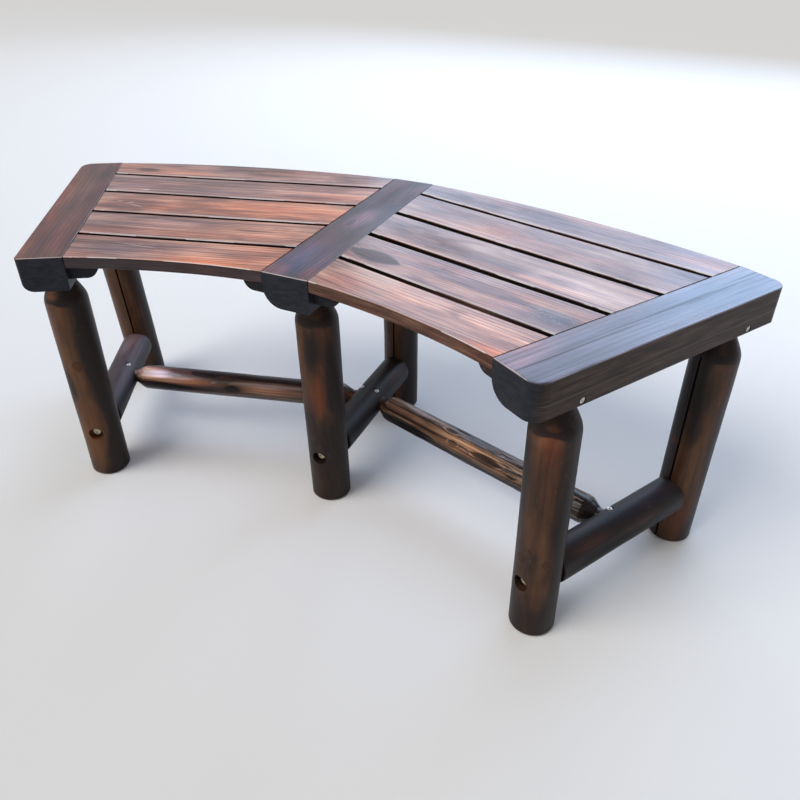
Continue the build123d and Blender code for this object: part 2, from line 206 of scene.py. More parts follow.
# what a wood has unless its own look says otherwise; a scale is waves per metre, along the grain first
plainWood = {
    "driftScale": (1.8, 9, 9), "rippleScale": (7, 38, 38), "fibreScale": (9, 330, 330),
    "lineScale": (3.4, 260, 260), "speckScale": (260, 420, 420), "scratchedScale": (9, 22, 22),
    "sawScale": (16, 75, 190), "scuffScale": (26, 90, 90),
    # where each pattern starts and ends
    "lateEdge": (0.35, 0.9), "lateEnd": (0.92, 1.0), "darkEdge": (0.02, 0.16), "lightEdge": (0.04, 0.18),
    "moodEdge": (-0.02, 0.16), "dotEdge": (0.10, 0.20), "scratchEdge": (0.60, 0.68),
    "scratchedEdge": (0.0, 0.14), "patchyEdge": (-0.30, 0.10), "outlineEdge": (0.80, 0.95),
    "outlineEnd": (0.98, 1.14),
    # the same below the seat's top and beside the beam's long sides, in metres
    "underEdge": (0.0006, 0.0018), "wallEdge": (0.0013, 0.0032), "capEdge": (0.0008, 0.0020),
    "seamEdge": (0.0003, 0.0012), "besideEdge": (0.0004, 0.0010), "gatherEdge": (0.0034, 0.0052),
    "frontEdge": (0.002, 0.016),
    # where a spot starts to fade and where it ends, as shares of its reach
    "burnEdge": (0.2, 1.2), "stainEdge": (0.25, 1.25), "speckEdge": (0.6, 1.1), "markEdge": (0.6, 1.0),
    "dullEdge": (0.3, 1.0), "knotEdge": (0.78, 1.04), "haloEdge": (0.8, 2.2), "smoke": 0.0,
    "burns": [],
    "stains": [],
    "specks": [],
    "marks": [],
    "dull": [],
    "knots": [],
    "knotBend": 1.6, "knotOutline": 0.7, "knotRim": rgb(0.012, 0.007, 0.006), "haloAmount": 0.35,
    "shine": 0.16, "scorchRough": 0.06, "coatScorch": 0.0, "coatLines": 0.0,
}


def burntWood(name, look):
    # scorched, stained and lacquered softwood; X of its grain space runs along the grain
    material, graph = startMaterial(name)
    step, fade, blend = graph.step, graph.fade, graph.blend
    look = {**plainWood, **look}
    isBeam = "board" in look
    isSlat = "wall" in look
    if isBeam:
        inverse = boardFrame(look["board"]).inverted()
        place = graph.node("ShaderNodeTexCoord").outputs["Object"]
        turned = {"Vector": place, "Location": inverse.to_translation(), "Rotation": inverse.to_euler()}
        grain = graph.out("ShaderNodeMapping", {"vector_type": "POINT"}, turned)
    else:
        grain = graph.attribute("grain", "Vector")
    x, y, z = graph.split(grain)

    def pattern(scale, shift, *details):
        # noise stretched along the grain, 0 on average; its shift keeps it off the other patterns
        return graph.noise(graph.stretch(grain, scale), look["seed"] + shift, *details) - 0.5

    def patch(kind, middle, size, wobble=0.0, turn=0.0):  # 1 in the middle of a spot, 0 outside it
        values = {"Vector": grain, "Location": middle, "Rotation": (0, 0, turn), "Scale": size}
        inside = graph.out("ShaderNodeMapping", {"vector_type": "TEXTURE"}, values)
        reach = graph.node("ShaderNodeVectorMath", {"operation": "LENGTH"}, {0: inside}).outputs["Value"]
        return fade(Num(graph, reach) + wobble, *look[kind + "Edge"])

    # growth rings round a pith, bent by the tree's own waviness and pushed aside by knots
    drift = pattern(look["driftScale"], 0.0, 3.0)
    ripple = pattern(look["rippleScale"], 3.1, 2.0)
    pithY, pithZ = look["pith"]
    depth = graph.hypot(y - pithY, z - pithZ) + drift * look["drift"] + ripple * look["ripple"]
    if look["knots"]:
        reaches = []
        for (knotX, knotY, knotZ), (long, wide, *_) in look["knots"]:
            across = (x - knotX) * (1 / long)
            around = graph.hypot((y - knotY) * (1 / wide), (z - knotZ) * (1 / wide))
            reaches.append(around + across * across + ripple * 0.7)
        knotAway = graph.lowest(*reaches)
        knotCore = fade(knotAway, *look["knotEdge"])
        knotHalo = fade(knotAway, *look["haloEdge"])
        depth = depth + knotHalo * look["ringWidth"] * look["knotBend"]
    turn = graph.maths("FRACT", depth / look["ringWidth"])
    late = step(turn, *look["lateEdge"]) * fade(turn, *look["lateEnd"])

    streak = pattern(look["streakScale"], 7.7, 4.0, 0.6)
    fibre = pattern(look["fibreScale"], 11.3, 3.0, 0.6)
    cloud = pattern(look["cloudScale"], 13.9, 3.0, 0.55)
    tone = 0.5 + streak * look["streak"] + (0.4 - late) * look["rings"]
    tone = tone + fibre * look["fibre"] + cloud * look["cloud"]
    colour = graph.ramp(look["colours"], tone)
    if "lines" in look:
        thin = pattern(look["lineScale"], 5.5, 3.0, 0.7)
        dark = step(thin, *look["darkEdge"]) * (0.7 + late * 0.3)
        colour = blend(dark * look["lines"], colour, look["lineColour"], "MULTIPLY")
        light = step(thin * -1, *look["lightEdge"])
        colour = blend(light * look["lines"] * 0.5, colour, look["paleLine"], "SCREEN")

    # warmer and cooler stretches, then the scorch
    moodAmount, moodColour = look["mood"]
    mood = pattern(look["moodScale"], 17.9, 2.0)
    colour = blend(step(mood, *look["moodEdge"]) * moodAmount, colour, moodColour, "MULTIPLY")
    scorch = pattern(look["scorchScale"], 23.3, 4.0, 0.55, look["smoke"]) + streak * 0.35
    if "glow" in look:  # painted light: logs get less char on the sides that face the lamps and more on the shaded sides
        paintedLightLevel, paintedLightAmount = look["glow"]
        scorch = scorch + (paintedLightLevel - graph.attribute("glow")) * paintedLightAmount
    for middle, size, amount in look["burns"]:  # spots that the flame caught more, or missed
        scorch = scorch + patch("burn", middle, size, cloud * 0.8) * amount
    burn = step(scorch, look["scorchFrom"], look["scorchTo"])
    colour = blend(burn * look["scorch"], colour, look["char"])
    if look["knots"]:
        colour = blend(knotHalo * look["haloAmount"], colour, look["haloColour"])
        knotRing = graph.maths("FRACT", knotAway * 3.5 + drift * 3 + cloud * 0.8)
        cover = graph.maths("ADD", 0.93 - knotRing * 0.35, fibre * 0.9, clamp=True)
        colour = blend(knotCore * cover, colour, look["knotColour"])
        ragged = knotAway + cloud * 0.25
        outline = step(ragged, *look["outlineEdge"]) * fade(ragged, *look["outlineEnd"])
        colour = blend(outline * look["knotOutline"], colour, look["knotRim"])
    if isSlat:
        colour = blend(1.0, colour, graph.attribute("tone", "Color"), "MULTIPLY")

    # single patches of the flame and of the staining pot, ragged along the grain; some listed patches are
    # painted highlights and some painted shade, as marked in the tables
    for middle, size, tint, amount in look["stains"]:
        inside = patch("stain", middle, size, streak * 0.9 + cloud * 0.8)
        colour = blend(inside * amount, colour, rgb(*tint), "MULTIPLY")
    for middle, size, amount in look["specks"]:
        dots = step(pattern(look["speckScale"], 51.0, 2.0, 0.6), *look["dotEdge"])
        colour = blend(dots * patch("speck", middle, size, streak) * amount, colour, look["scratchColour"])
    for middle, size, turn, amount in look["marks"]:  # single scratches and chips
        colour = blend(patch("mark", middle, size, cloud * 0.8, turn) * amount, colour, look["markColour"])

    # thin pale scratches in the lacquer
    amount, frequency, turned = look["scratch"]
    values = {"Vector": grain, "Rotation": (0, 0, turned), "Scale": frequency}
    line = graph.out("ShaderNodeMapping", {"vector_type": "POINT"}, values)
    scratchLine = step(graph.noise(line, look["seed"] + 41.0, 2.0, 0.7), *look["scratchEdge"])
    scratched = step(pattern(look["scratchedScale"], 43.0, 2.0), *look["scratchedEdge"])
    colour = blend(scratchLine * scratched * amount, colour, look["scratchColour"])

    face = 1.0
    if isBeam or isSlat:
        # the sides under the top face are scorched nearly black, with upright saw marks; on the slats' gap
        # walls the near-black is also painted shade
        side = look["side"]
        below = bench["seatHeight"] - z
        sawn = pattern(look["sawScale"], 47.0, 4.0, 0.62) + 0.5
        sideColour = graph.ramp(side["colours"], sawn)
        if isBeam:  # the glue line between cap and rail, on the beam's long sides
            half = bench["halfBeam"]
            away = graph.maths("ABSOLUTE", bench["glueLine"] - below + ripple * 0.002)
            beside = [half + edge for edge in look["besideEdge"]]
            seam = fade(away, *look["seamEdge"]) * fade(graph.maths("ABSOLUTE", y), *beside)
            sideColour = blend(seam * side["seamAmount"], sideColour, side["seamColour"])
        frontEdge = [side["end"] + edge for edge in look["frontEdge"]]
        atEnd = fade(x if isBeam else y, *frontEdge)  # the front end differs
        sideColour = blend(atEnd, sideColour, graph.ramp(side["endColours"], sawn))
        under = step(below, *look["underEdge"])
        if isSlat:
            # gap walls take the dark colours: charred wood and painted shade in the gaps
            under = under * graph.attribute("wall")
            sideColour = blend(step(below, *look["wallEdge"]), look["wall"], sideColour)
        colour = blend(under, colour, sideColour)
        face = 1 - under

        # edges rubbed down to paler wood, and along the top arris a whitish line that is partly a painted
        # highlight
        rim = look["rim"]
        if isBeam:
            front, back = bench["frontRadius"], bench["backRadius"] + bench["endBeamExtra"]
            edge = graph.lowest(x - front, back - x + 0.0004, half - y + 0.0007, half + y + 0.0007)
            edge = edge + step(below, *look["capEdge"]) * 0.5
        else:
            edge = graph.lowest(*graph.split(graph.attribute("reach", "Vector")))
            # painted highlight: a whitish strip along each slat's near edge stands in for the sky reflected
            # in lacquer pooled there
            gathered = fade(graph.attribute("gather") + fibre * 0.002, *look["gatherEdge"])
            patchy = step(streak + cloud, *look["patchyEdge"]) * 0.5 + 0.5
            colour = blend(gathered * patchy * rim["gathered"], colour, rim["gatheredColour"])
        scuff = pattern(look["scuffScale"], 31.7, 3.0)
        wornAndHighlight = fade(edge + scuff * rim["ragged"], rim["from"], rim["to"])
        colour = blend(wornAndHighlight * rim["amount"], colour, rim["colour"])

    rough = graph.maths("ADD", look["rough"], fibre * 0.22 + burn * look["scorchRough"], clamp=True)
    coat = look["coat"] + streak * -0.4 + scorch * look["coatScorch"]
    if "lines" in look:
        coat = coat - dark * look["coatLines"]
    if look["knots"]:
        coat = coat - knotCore * 0.3
    for middle, size, amount in look["dull"]:  # places where the lacquer went flat
        coat = coat - patch("dull", middle, size) * amount
    height = fibre * look["fibreDepth"] + late * look["ringDepth"] + ripple * look["waveDepth"]
    endMaterial(graph, {
        "Base Color": colour,
        "Roughness": rough,
        "Coat Weight": graph.maths("MULTIPLY", coat, face, clamp=True),
        "Coat Roughness": look["coatRough"],
        "Specular IOR Level": look["shine"],
        "Normal": graph.out("ShaderNodeBump", None, {"Height": height, "Strength": 1.0, "Distance": 0.001}),
    })
    return material


def plainMetal(name, look):
    material, graph = startMaterial(name)
    place = graph.node("ShaderNodeTexCoord").outputs["Object"]
    mottle = graph.noise(graph.stretch(place, (420, 420, 420)), look["seed"], 3.0)
    fine = graph.noise(graph.stretch(place, (2600, 2600, 2600)), look["seed"] + 5, 2.0)
    relief = {"Height": fine + mottle, "Strength": 0.4, "Distance": 0.00015}
    endMaterial(graph, {
        "Base Color": graph.ramp(look["colours"], mottle),
        "Metallic": look["metallic"],
        "Roughness": graph.maths("ADD", look["rough"], (fine - 0.5) * 0.25, clamp=True),
        "Normal": graph.out("ShaderNodeBump", None, relief),
    })
    return material


def boardFrame(angle):
    # grain space of a beam: X away from the ring centre, Y to the left, Z up
    return axesAt(ringPoint(angle, 0), heading(angle), -rightOf(angle), upwards)


# geometry trees and the meshes they leave
def startTree(name, inputs):
    tree = bpy.data.node_groups.new(name, "GeometryNodeTree")
    tree.interface.new_socket("Geometry", in_out="INPUT", socket_type="NodeSocketGeometry")
    for label, value in inputs.items():
        form = "NodeSocketInt" if isinstance(value, int) else "NodeSocketFloat"
        tree.interface.new_socket(label, in_out="INPUT", socket_type=form).default_value = value
    tree.interface.new_socket("Material", in_out="INPUT", socket_type="NodeSocketMaterial")
    tree.interface.new_socket("Geometry", in_out="OUTPUT", socket_type="NodeSocketGeometry")
    graph = Graph(tree)
    given = graph.node("NodeGroupInput")
    return graph, given, {label: Num(graph, given.outputs[label]) for label in inputs}


def endTree(graph, given, geometry):
    real = graph.out("GeometryNodeRealizeInstances", None, {0: geometry})
    painted = {"Geometry": real, "Material": given.outputs["Material"]}
    graph.node("NodeGroupOutput", None, {0: graph.out("GeometryNodeSetMaterial", None, painted)})
    return graph


def linked(name, data):
    made = bpy.data.objects.new(name, data)
    scene.collection.objects.link(made)
    return made


def evaluated(holder):
    bpy.context.view_layer.update()
    depsgraph = bpy.context.evaluated_depsgraph_get()
    return bpy.data.meshes.new_from_object(
        holder.evaluated_get(depsgraph), preserve_all_data_layers=True, depsgraph=depsgraph
    )


def growMesh(name, graph, values, source=None):
    holder = linked(name + "Seed", source or bpy.data.meshes.new(name + "Seed"))
    modifier = holder.modifiers.new("grow", "NODES")
    modifier.node_group = graph.tree
    for item in graph.tree.interface.items_tree:
        if item.in_out == "INPUT" and item.name in values:
            modifier[item.identifier] = values[item.name]
    mesh = evaluated(holder)
    holder.modifiers.remove(modifier)
    bpy.data.objects.remove(holder)
    return mesh


def carve(mesh, cutter):
    # takes the cutter's closed mesh out of the mesh
    body, tool = linked("carved", mesh), linked("cutter", cutter)
    modifier = body.modifiers.new("carve", "BOOLEAN")
    modifier.operation = "DIFFERENCE"
    modifier.solver = "EXACT"
    modifier.object = tool
    result = evaluated(body)
    for item in (body, tool):
        bpy.data.objects.remove(item)
    return result


def readVectors(items, field):
    values = np.empty(len(items) * 3)
    items.foreach_get(field, values)
    return values.reshape(-1, 3)


def writeAttribute(mesh, name, values):
    form = "FLOAT" if values.ndim == 1 else "FLOAT_VECTOR"
    attribute = mesh.attributes.new(name, form, "POINT")
    attribute.data.foreach_set("value" if values.ndim == 1 else "vector", values.astype(np.float32).ravel())


def camel(node):
    first, *others = node.split("_")
    return first + "".join(word.title() for word in others)


def settle(name, mesh, nodes, material, sharpAngle=38.0, flatFaces=False):
    # a finished piece: outward faces, soft shading between sharp edges, riding on the frame
    shape = bmesh.new()
    shape.from_mesh(mesh)
    bmesh.ops.recalc_face_normals(shape, faces=shape.faces)
    shape.to_mesh(mesh)
    shape.free()
    mesh.materials.clear()
    mesh.materials.append(material)
    mesh.shade_smooth()
    mesh.set_sharp_from_angle(angle=math.radians(sharpAngle))
    if flatFaces:  # the wide faces keep their own normals, so only the eased edges shade round
        holder = linked(name + "Flat", mesh)
        holder.modifiers.new("weighted", "WEIGHTED_NORMAL").keep_sharp = True
        mesh = evaluated(holder)
        bpy.data.objects.remove(holder)
    piece = linked(name, mesh)
    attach(piece, "root")
    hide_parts(*nodes)


# where every log, slat and cap keeps its own stretch of the grain
logNodes = [f"leg_{side}_{row}" for side in bench["angles"] for row in ("front", "back")]
logNodes += [f"cross_stretcher_{side}" for side in bench["angles"]]
logNodes += ["long_stretcher_left", "long_stretcher_right"]
grainShift = {"log": 2.3, "slat": (1.7, 0.13)}


def spotsAt(shiftX, shiftY, rows):
    # spots come in millimetres: middle, reach, and what they do; flat ones lie on the seat's top
    placed = []
    for middle, reach, *rest in rows:
        if len(middle) == 2:
            middle, reach = (*middle, bench["seatHeight"] * 1000), (*reach, 1000)
        x, y, z = (value / 1000 for value in middle)
        placed.append(((x + shiftX, y + shiftY, z), tuple(value / 1000 for value in reach), *rest))
    return placed


def onLog(node, rows):
    return spotsAt(grainShift["log"] * logNodes.index(node), 0, rows)


def onSlat(number, rows):
    along, across = grainShift["slat"]
    return spotsAt(along * (number - 1), across * (number - 1), rows)


def onEach(place, table):  # place is onLog or onSlat
    return [spot for piece, rows in table.items() for spot in place(piece, rows)]


def onCap(rows):
    return spotsAt(0, 0, rows)


# logs: a circle swept along an axis, its radius following the cones and eased ends
def makeLogTree():
    graph, given, size = startTree("turnedLog", {
        "Length": 0.38, "Radius": 0.032, "Steps": 220, "Sides": 96,
        "Start Neck": 0.029, "Start Stub": 0.0, "Start Slope": 1.0, "Start Round": 0.002,
        "End Neck": 0.014, "End Stub": 0.007, "End Slope": 0.474, "End Round": 0.01,
        "Wave": 0.0012, "Ridge": 0.0, "Seed": 1.0,
    })
    line = graph.out("GeometryNodeCurvePrimitiveLine", None, {"Start": (0, 0, 0), "End": (0, 0, 1)})
    rail = graph.out("GeometryNodeResampleCurve", None, {"Curve": line, "Count": size["Steps"]})
    factor = graph.node("GeometryNodeSplineParameter").outputs["Factor"]
    rail, way = graph.capture(rail, factor, "FLOAT")
    ring = graph.out("GeometryNodeCurvePrimitiveCircle", None, {"Resolution": size["Sides"], "Radius": 1.0})
    ring, rim = graph.capture(ring, graph.out("GeometryNodeInputPosition"))
    tube = graph.sweep(rail, ring)
    # rings lie closer together towards both ends, where the shape turns
    way = Num(graph, way)
    along = size["Length"] * (way - graph.maths("SINE", way * (2 * math.pi)) * (0.94 / (2 * math.pi)))
    radius = size["Radius"]
    for end, distance in (("Start", along), ("End", size["Length"] - along)):
        cone = size[end + " Neck"] + (distance - size[end + " Stub"]) * size[end + " Slope"]
        cone = graph.maths("MAXIMUM", cone, size[end + " Neck"])
        radius = graph.maths("SMOOTH_MIN", radius, cone, size[end + " Round"])
    rimX, rimY, _ = graph.split(rim)
    plain = graph.vector(rimX * radius, rimY * radius, along)
    swell = graph.noise(graph.stretch(plain, (14, 14, 5)), size["Seed"], 2.0) - 0.5
    nick = graph.noise(graph.stretch(plain, (60, 60, 22)), size["Seed"] + 4.4, 3.0) - 0.5
    drawn = graph.vector(rimX * size["Radius"], rimY * size["Radius"], along)  # ridges run out over the cones
    ridge = graph.noise(graph.stretch(drawn, (210, 210, 5)), size["Seed"] + 9.9, 3.0, 0.6) - 0.5
    ridge = ridge * size["Ridge"] * (radius / size["Radius"])
    radius = radius + swell * size["Wave"] * 2.4 + nick * size["Wave"] * 0.7 + ridge
    return endTree(graph, given, graph.moved(tube, graph.vector(rimX * radius, rimY * radius, along)))


logTree = makeLogTree()


def logFrame(start, end, facing):
    # local Z along the log, local X towards facing
    axis = (end - start).normalized()
    sideways = (facing - axis * facing.dot(axis)).normalized()
    return axesAt(start, sideways, axis.cross(sideways), axis)


def boxCutter(low, high):
    mesh = bpy.data.meshes.new("boxCutter")
    shape = bmesh.new()
    bmesh.ops.create_cube(shape, size=1.0)
    middle = (Vector(low) + Vector(high)) / 2
    for vertex in shape.verts:
        vertex.co = middle + Vector((vertex.co[i] * (high[i] - low[i]) for i in range(3)))
    shape.to_mesh(mesh)
    shape.free()
    return mesh


def boreCutter(place, direction, radius, depth):
    # a round bore whose mouth is at place, cut along direction
    mesh = bpy.data.meshes.new("boreCutter")
    shape = bmesh.new()
    bmesh.ops.create_cone(shape, cap_ends=True, segments=40, radius1=radius, radius2=radius, depth=depth * 2)
    shape.transform(Matrix.Translation(place) @ direction.to_track_quat("Z", "Y").to_matrix().to_4x4())
    shape.to_mesh(mesh)
    shape.free()
    return mesh


def makeLog(node, material, start, end, facing, size, pale, kerf=None, bores=(), fading=None):
    length = (end - start).length
    order = logNodes.index(node)
    values = {**size, "Length": length, "Seed": 3.7 * order + 1.3, "Material": material}
    mesh = growMesh(camel(node), logTree, values)
    matrix = logFrame(start, end, facing)
    if node.startswith("leg"):  # a leaning leg stays level at its foot and its top
        for column, side in enumerate((facing.normalized(), upwards.cross(facing).normalized())):
            for row in range(3):
                matrix[row][column] = side[row]
    inverse = matrix.inverted()
    if kerf:
        mesh = carve(mesh, boxCutter(*kerf))
    for place, direction, *bore in bores:
        mesh = carve(mesh, boreCutter(inverse @ place, (inverse.to_3x3() @ direction).normalized(), *bore))
    x, y, z = readVectors(mesh.vertices, "co").T
    writeAttribute(mesh, "grain", np.stack([z + grainShift["log"] * order, y, x], axis=1))
    # painted light: how squarely each point faces one of the lit sides, which are painted paler
    glow = np.full(len(x), -1.0)
    for direction in pale:
        turned = inverse.to_3x3() @ Vector(direction).normalized()
        glow = np.maximum(glow, (x * turned.x + y * turned.y) / (np.hypot(x, y) + 1e-6))
    if fading:  # the painted light is weaker at the foot and on the cone, and a burnt ring where the cone starts darkens it
        beyond = (z - length + fading["coneReach"]) / fading["ringReach"]
        glow = glow - fading["foot"] * np.clip((fading["footReach"] - z) / fading["footBlend"], 0, 1)
        glow = glow - fading["cone"] * np.clip(beyond, 0, 1) - fading["ring"] * np.exp(-beyond ** 2)
    writeAttribute(mesh, "glow", glow)
    mesh.transform(matrix)
    settle(camel(node), mesh, [node], material)


legs = {
    "radius": 0.032,
    "frontSetback": 0.073,
    "backSetback": 0.056,
    "kerfWidth": 0.003,
    "kerfFloor": 0.014,
    "kerfTop": 0.336,
    "kerfReach": 0.05,  # how far the saw runs past the log
    "kerfBelow": -0.01,
    "boreRadius": 0.0115,
    "boreDepth": 0.011,
    "boltHeight": 0.090,
    "into": 0.003,  # how far the log runs up into the rail
    "stub": 0.005,  # the straight neck between rail and cone
    "shape": {"End Round": 0.006, "Wave": 0.0011},
    # how far each foot stands off plumb: away from the ring centre, and to the right
    "leans": {
        "leg_left_front": (0.009, -0.005),
        "leg_left_back": (0.012, 0.016),
        "leg_centre_front": (0.006, 0.004),
        "leg_centre_back": (0.003, 0.001),
        "leg_right_front": (-0.003, 0.012),
        "leg_right_back": (0.008, -0.001),
    },
    # compass angles of the lit sides, which painted light makes paler than the shaded sides
    "paleAngles": {
        "leg_left_front": (-82, 80),
        "leg_left_back": (-105, -62, 120),
        "leg_centre_front": (-80, 100),
        "leg_centre_back": (-100, 70),
        "leg_right_front": (-98, 60),
        "leg_right_back": (-86, 150),
    },
    "fading": {
        "footReach": 0.06, "footBlend": 0.05, "foot": 0.3,
        "coneReach": 0.045, "ringReach": 0.004, "cone": 0.30, "ring": 0.8,
    },
}

logStops = (0.25, 0.45, 0.62, 0.85)
contrastStops = (0.2, 0.42, 0.6, 0.85)
legLook = {
    "seed": 2.0, "pith": (0.004, -0.003), "drift": 0.012, "ripple": 0.0016, "ringWidth": 0.0036,
    "streak": 0.58, "rings": 0.06, "fibre": 0.26, "streakScale": (3.0, 70, 70),
    "colours": shades(logStops, (28, 12, 6), (70, 30, 13), (120, 53, 21), (185, 88, 36)),
    "mood": (0.5, rgb(1.35, 0.80, 0.50)), "moodScale": (6.0, 22, 22), "scorchScale": (7.0, 22, 22),
    # the last pair sets the painted light: how much paler the lit sides are and how much more charred the
    # shaded sides
    "scorchFrom": -0.22, "scorchTo": 0.34, "scorch": 0.98, "glow": (0.78, 1.15),
    "burns": onEach(onLog, {
        "leg_left_front": [
            ((100, 4, -30), (70, 30, 20), -0.75), ((60, -10, -30), (30, 40, 20), 0.2),
            ((310, 18, -26), (70, 18, 18), -0.5), ((250, -16, -26), (90, 14, 16), 0.3),
            ((180, 20, -26), (50, 12, 16), 0.35),
        ],
        "leg_centre_front": [
            ((110, -4, -30), (100, 40, 30), 0.55), ((290, -6, -30), (60, 16, 16), 0.5),
            ((310, 20, -22), (50, 14, 16), -0.35), ((213, -10, -30), (40, 12, 12), -0.2),
            ((250, -24, -20), (100, 10, 14), 0.4),
        ],
        "leg_right_front": [
            ((50, 0, -30), (60, 50, 40), 0.3), ((200, 20, -24), (60, 10, 14), 0.35),
            ((130, -14, -28), (40, 12, 14), 0.25), ((250, 14, -28), (80, 14, 14), 0.25),
            ((322, -20, -24), (40, 16, 16), -0.45),
        ],
        "leg_right_back": [
            ((160, 12, -28), (100, 14, 14), 0.45), ((300, 0, -30), (80, 34, 22), 0.5),
            ((220, -16, -26), (40, 12, 14), 0.35),
        ],
    }),
    "stains": onEach(onLog, {
        "leg_left_front": [
            ((100, 4, -30), (70, 30, 20), (1.3, 1.2, 1.15), 0.9),
            ((320, 18, -26), (60, 18, 18), (1.3, 1.2, 1.2), 0.9),
        ],
        "leg_centre_front": [
            ((213, -8, -30), (45, 12, 14), (1.3, 0.88, 0.8), 0.9),
            ((290, -4, -30), (60, 20, 24), (0.62, 0.68, 0.78), 0.9),
        ],
        "leg_right_front": [
            ((130, 0, -30), (60, 40, 30), (0.66, 0.66, 0.72), 0.9),
            ((230, 10, -30), (110, 34, 30), (0.66, 0.68, 0.74), 0.9),
            ((310, -18, -24), (60, 20, 18), (1.3, 1.15, 1.15), 0.9),
            ((210, -12, -28), (150, 26, 20), (0.68, 0.64, 0.7), 0.9),
            ((220, -30, -6), (160, 8, 16), (0.6, 0.56, 0.56), 0.9),
            ((250, -22, -22), (120, 12, 16), (0.78, 0.72, 0.72), 0.9),
            ((335, -4, -30), (20, 40, 30), (1.7, 1.8, 2.2), 0.8),
            ((322, -20, -24), (30, 14, 14), (1.3, 0.95, 0.75), 0.9),
        ],
        "leg_right_back": [
            ((280, 0, -30), (110, 40, 30), (0.55, 0.58, 0.66), 0.9),
            ((200, 18, -24), (60, 12, 14), (1.5, 1.15, 0.9), 0.9),
            ((270, -26, -18), (80, 12, 14), (0.7, 0.7, 0.78), 0.9),
        ],
    }),
    "dull": onEach(onLog, {
        "leg_right_front": [((200, -30, -6), (200, 12, 20), 0.12)],
        "leg_right_back": [((250, 0, -30), (130, 40, 30), 0.05)],
    }),
    "cloud": 0.6, "cloudScale": (12, 40, 40), "char": rgb(0.0150, 0.0080, 0.0065),
    "haloColour": rgb(0.10, 0.035, 0.015), "haloAmount": 0.3, "knotColour": rgb(0.085, 0.030, 0.014),
    "knots": onEach(onLog, {
        "leg_left_front": [((227, 0, -32), (10, 8))],
        "leg_right_front": [
            ((135, 2, -32), (9, 7)), ((137, -28, -15.5), (7, 5)), ((154, -11.5, -30), (4, 3)),
        ],
        "leg_centre_front": [((262, -12, -29), (6, 4))],
        "leg_right_back": [((190, 10, -30), (8, 6))],
    }),
    "scratch": (0.35, (60, 260, 260), 0.12), "scratchColour": rgb(0.12, 0.085, 0.07), "rough": 0.45,
    "coat": 0.14, "coatRough": 0.30, "fibreDepth": 0.22, "ringDepth": 0.08, "waveDepth": 0.5,
}
legWood = burntWood("legWood", legLook)


def legAxis(side, row):
    # the foot's and the top's middle
    angle = bench["angles"][side]
    radius = bench["backRadius"] - legs["backSetback"]
    if row == "front":
        radius = bench["frontRadius"] + legs["frontSetback"]
    away, right = legs["leans"][f"leg_{side}_{row}"]
    foot = ringPoint(angle, radius) + heading(angle) * away + rightOf(angle) * right
    return foot, ringPoint(angle, radius, bench["railUnderside"])


def crossLine(side):
    # where the cross stretcher's axis meets the front and the back leg's, and its direction
    ends = []
    for row in ("front", "back"):
        foot, top = legAxis(side, row)
        ends.append(foot + (top - foot) * (legs["boltHeight"] / bench["railUnderside"]))
    front, back = ends
    return front, back, (back - front).normalized()


for side in bench["angles"]:
    front, back, backwards = crossLine(side)
    for row, bolt, outwards in (("front", front, -backwards), ("back", back, backwards)):
        node = f"leg_{side}_{row}"
        foot, top = legAxis(side, row)
        kerfLow = (legs["kerfFloor"], -legs["kerfWidth"] / 2, legs["kerfBelow"])
        kerfHigh = (legs["kerfReach"], legs["kerfWidth"] / 2, legs["kerfTop"])
        if row == "back":  # the kerf faces into the frame
            kerfLow, kerfHigh = (-kerfHigh[0], *kerfLow[1:]), (-kerfLow[0], *kerfHigh[1:])
        size = {**legs["shape"], "Radius": legs["radius"], "End Stub": legs["stub"] + legs["into"]}
        angles = [math.radians(angle) for angle in legs["paleAngles"][node]]
        pale = [(math.cos(angle), math.sin(angle), 0) for angle in angles]
        bore = (bolt + outwards * legs["radius"], outwards, legs["boreRadius"], legs["boreDepth"])
        makeLog(
            node, legWood, foot, top + (top - foot).normalized() * legs["into"],
            heading(bench["angles"][side]), size, pale, (kerfLow, kerfHigh), [bore], legs["fading"],
        )
print("legs done")

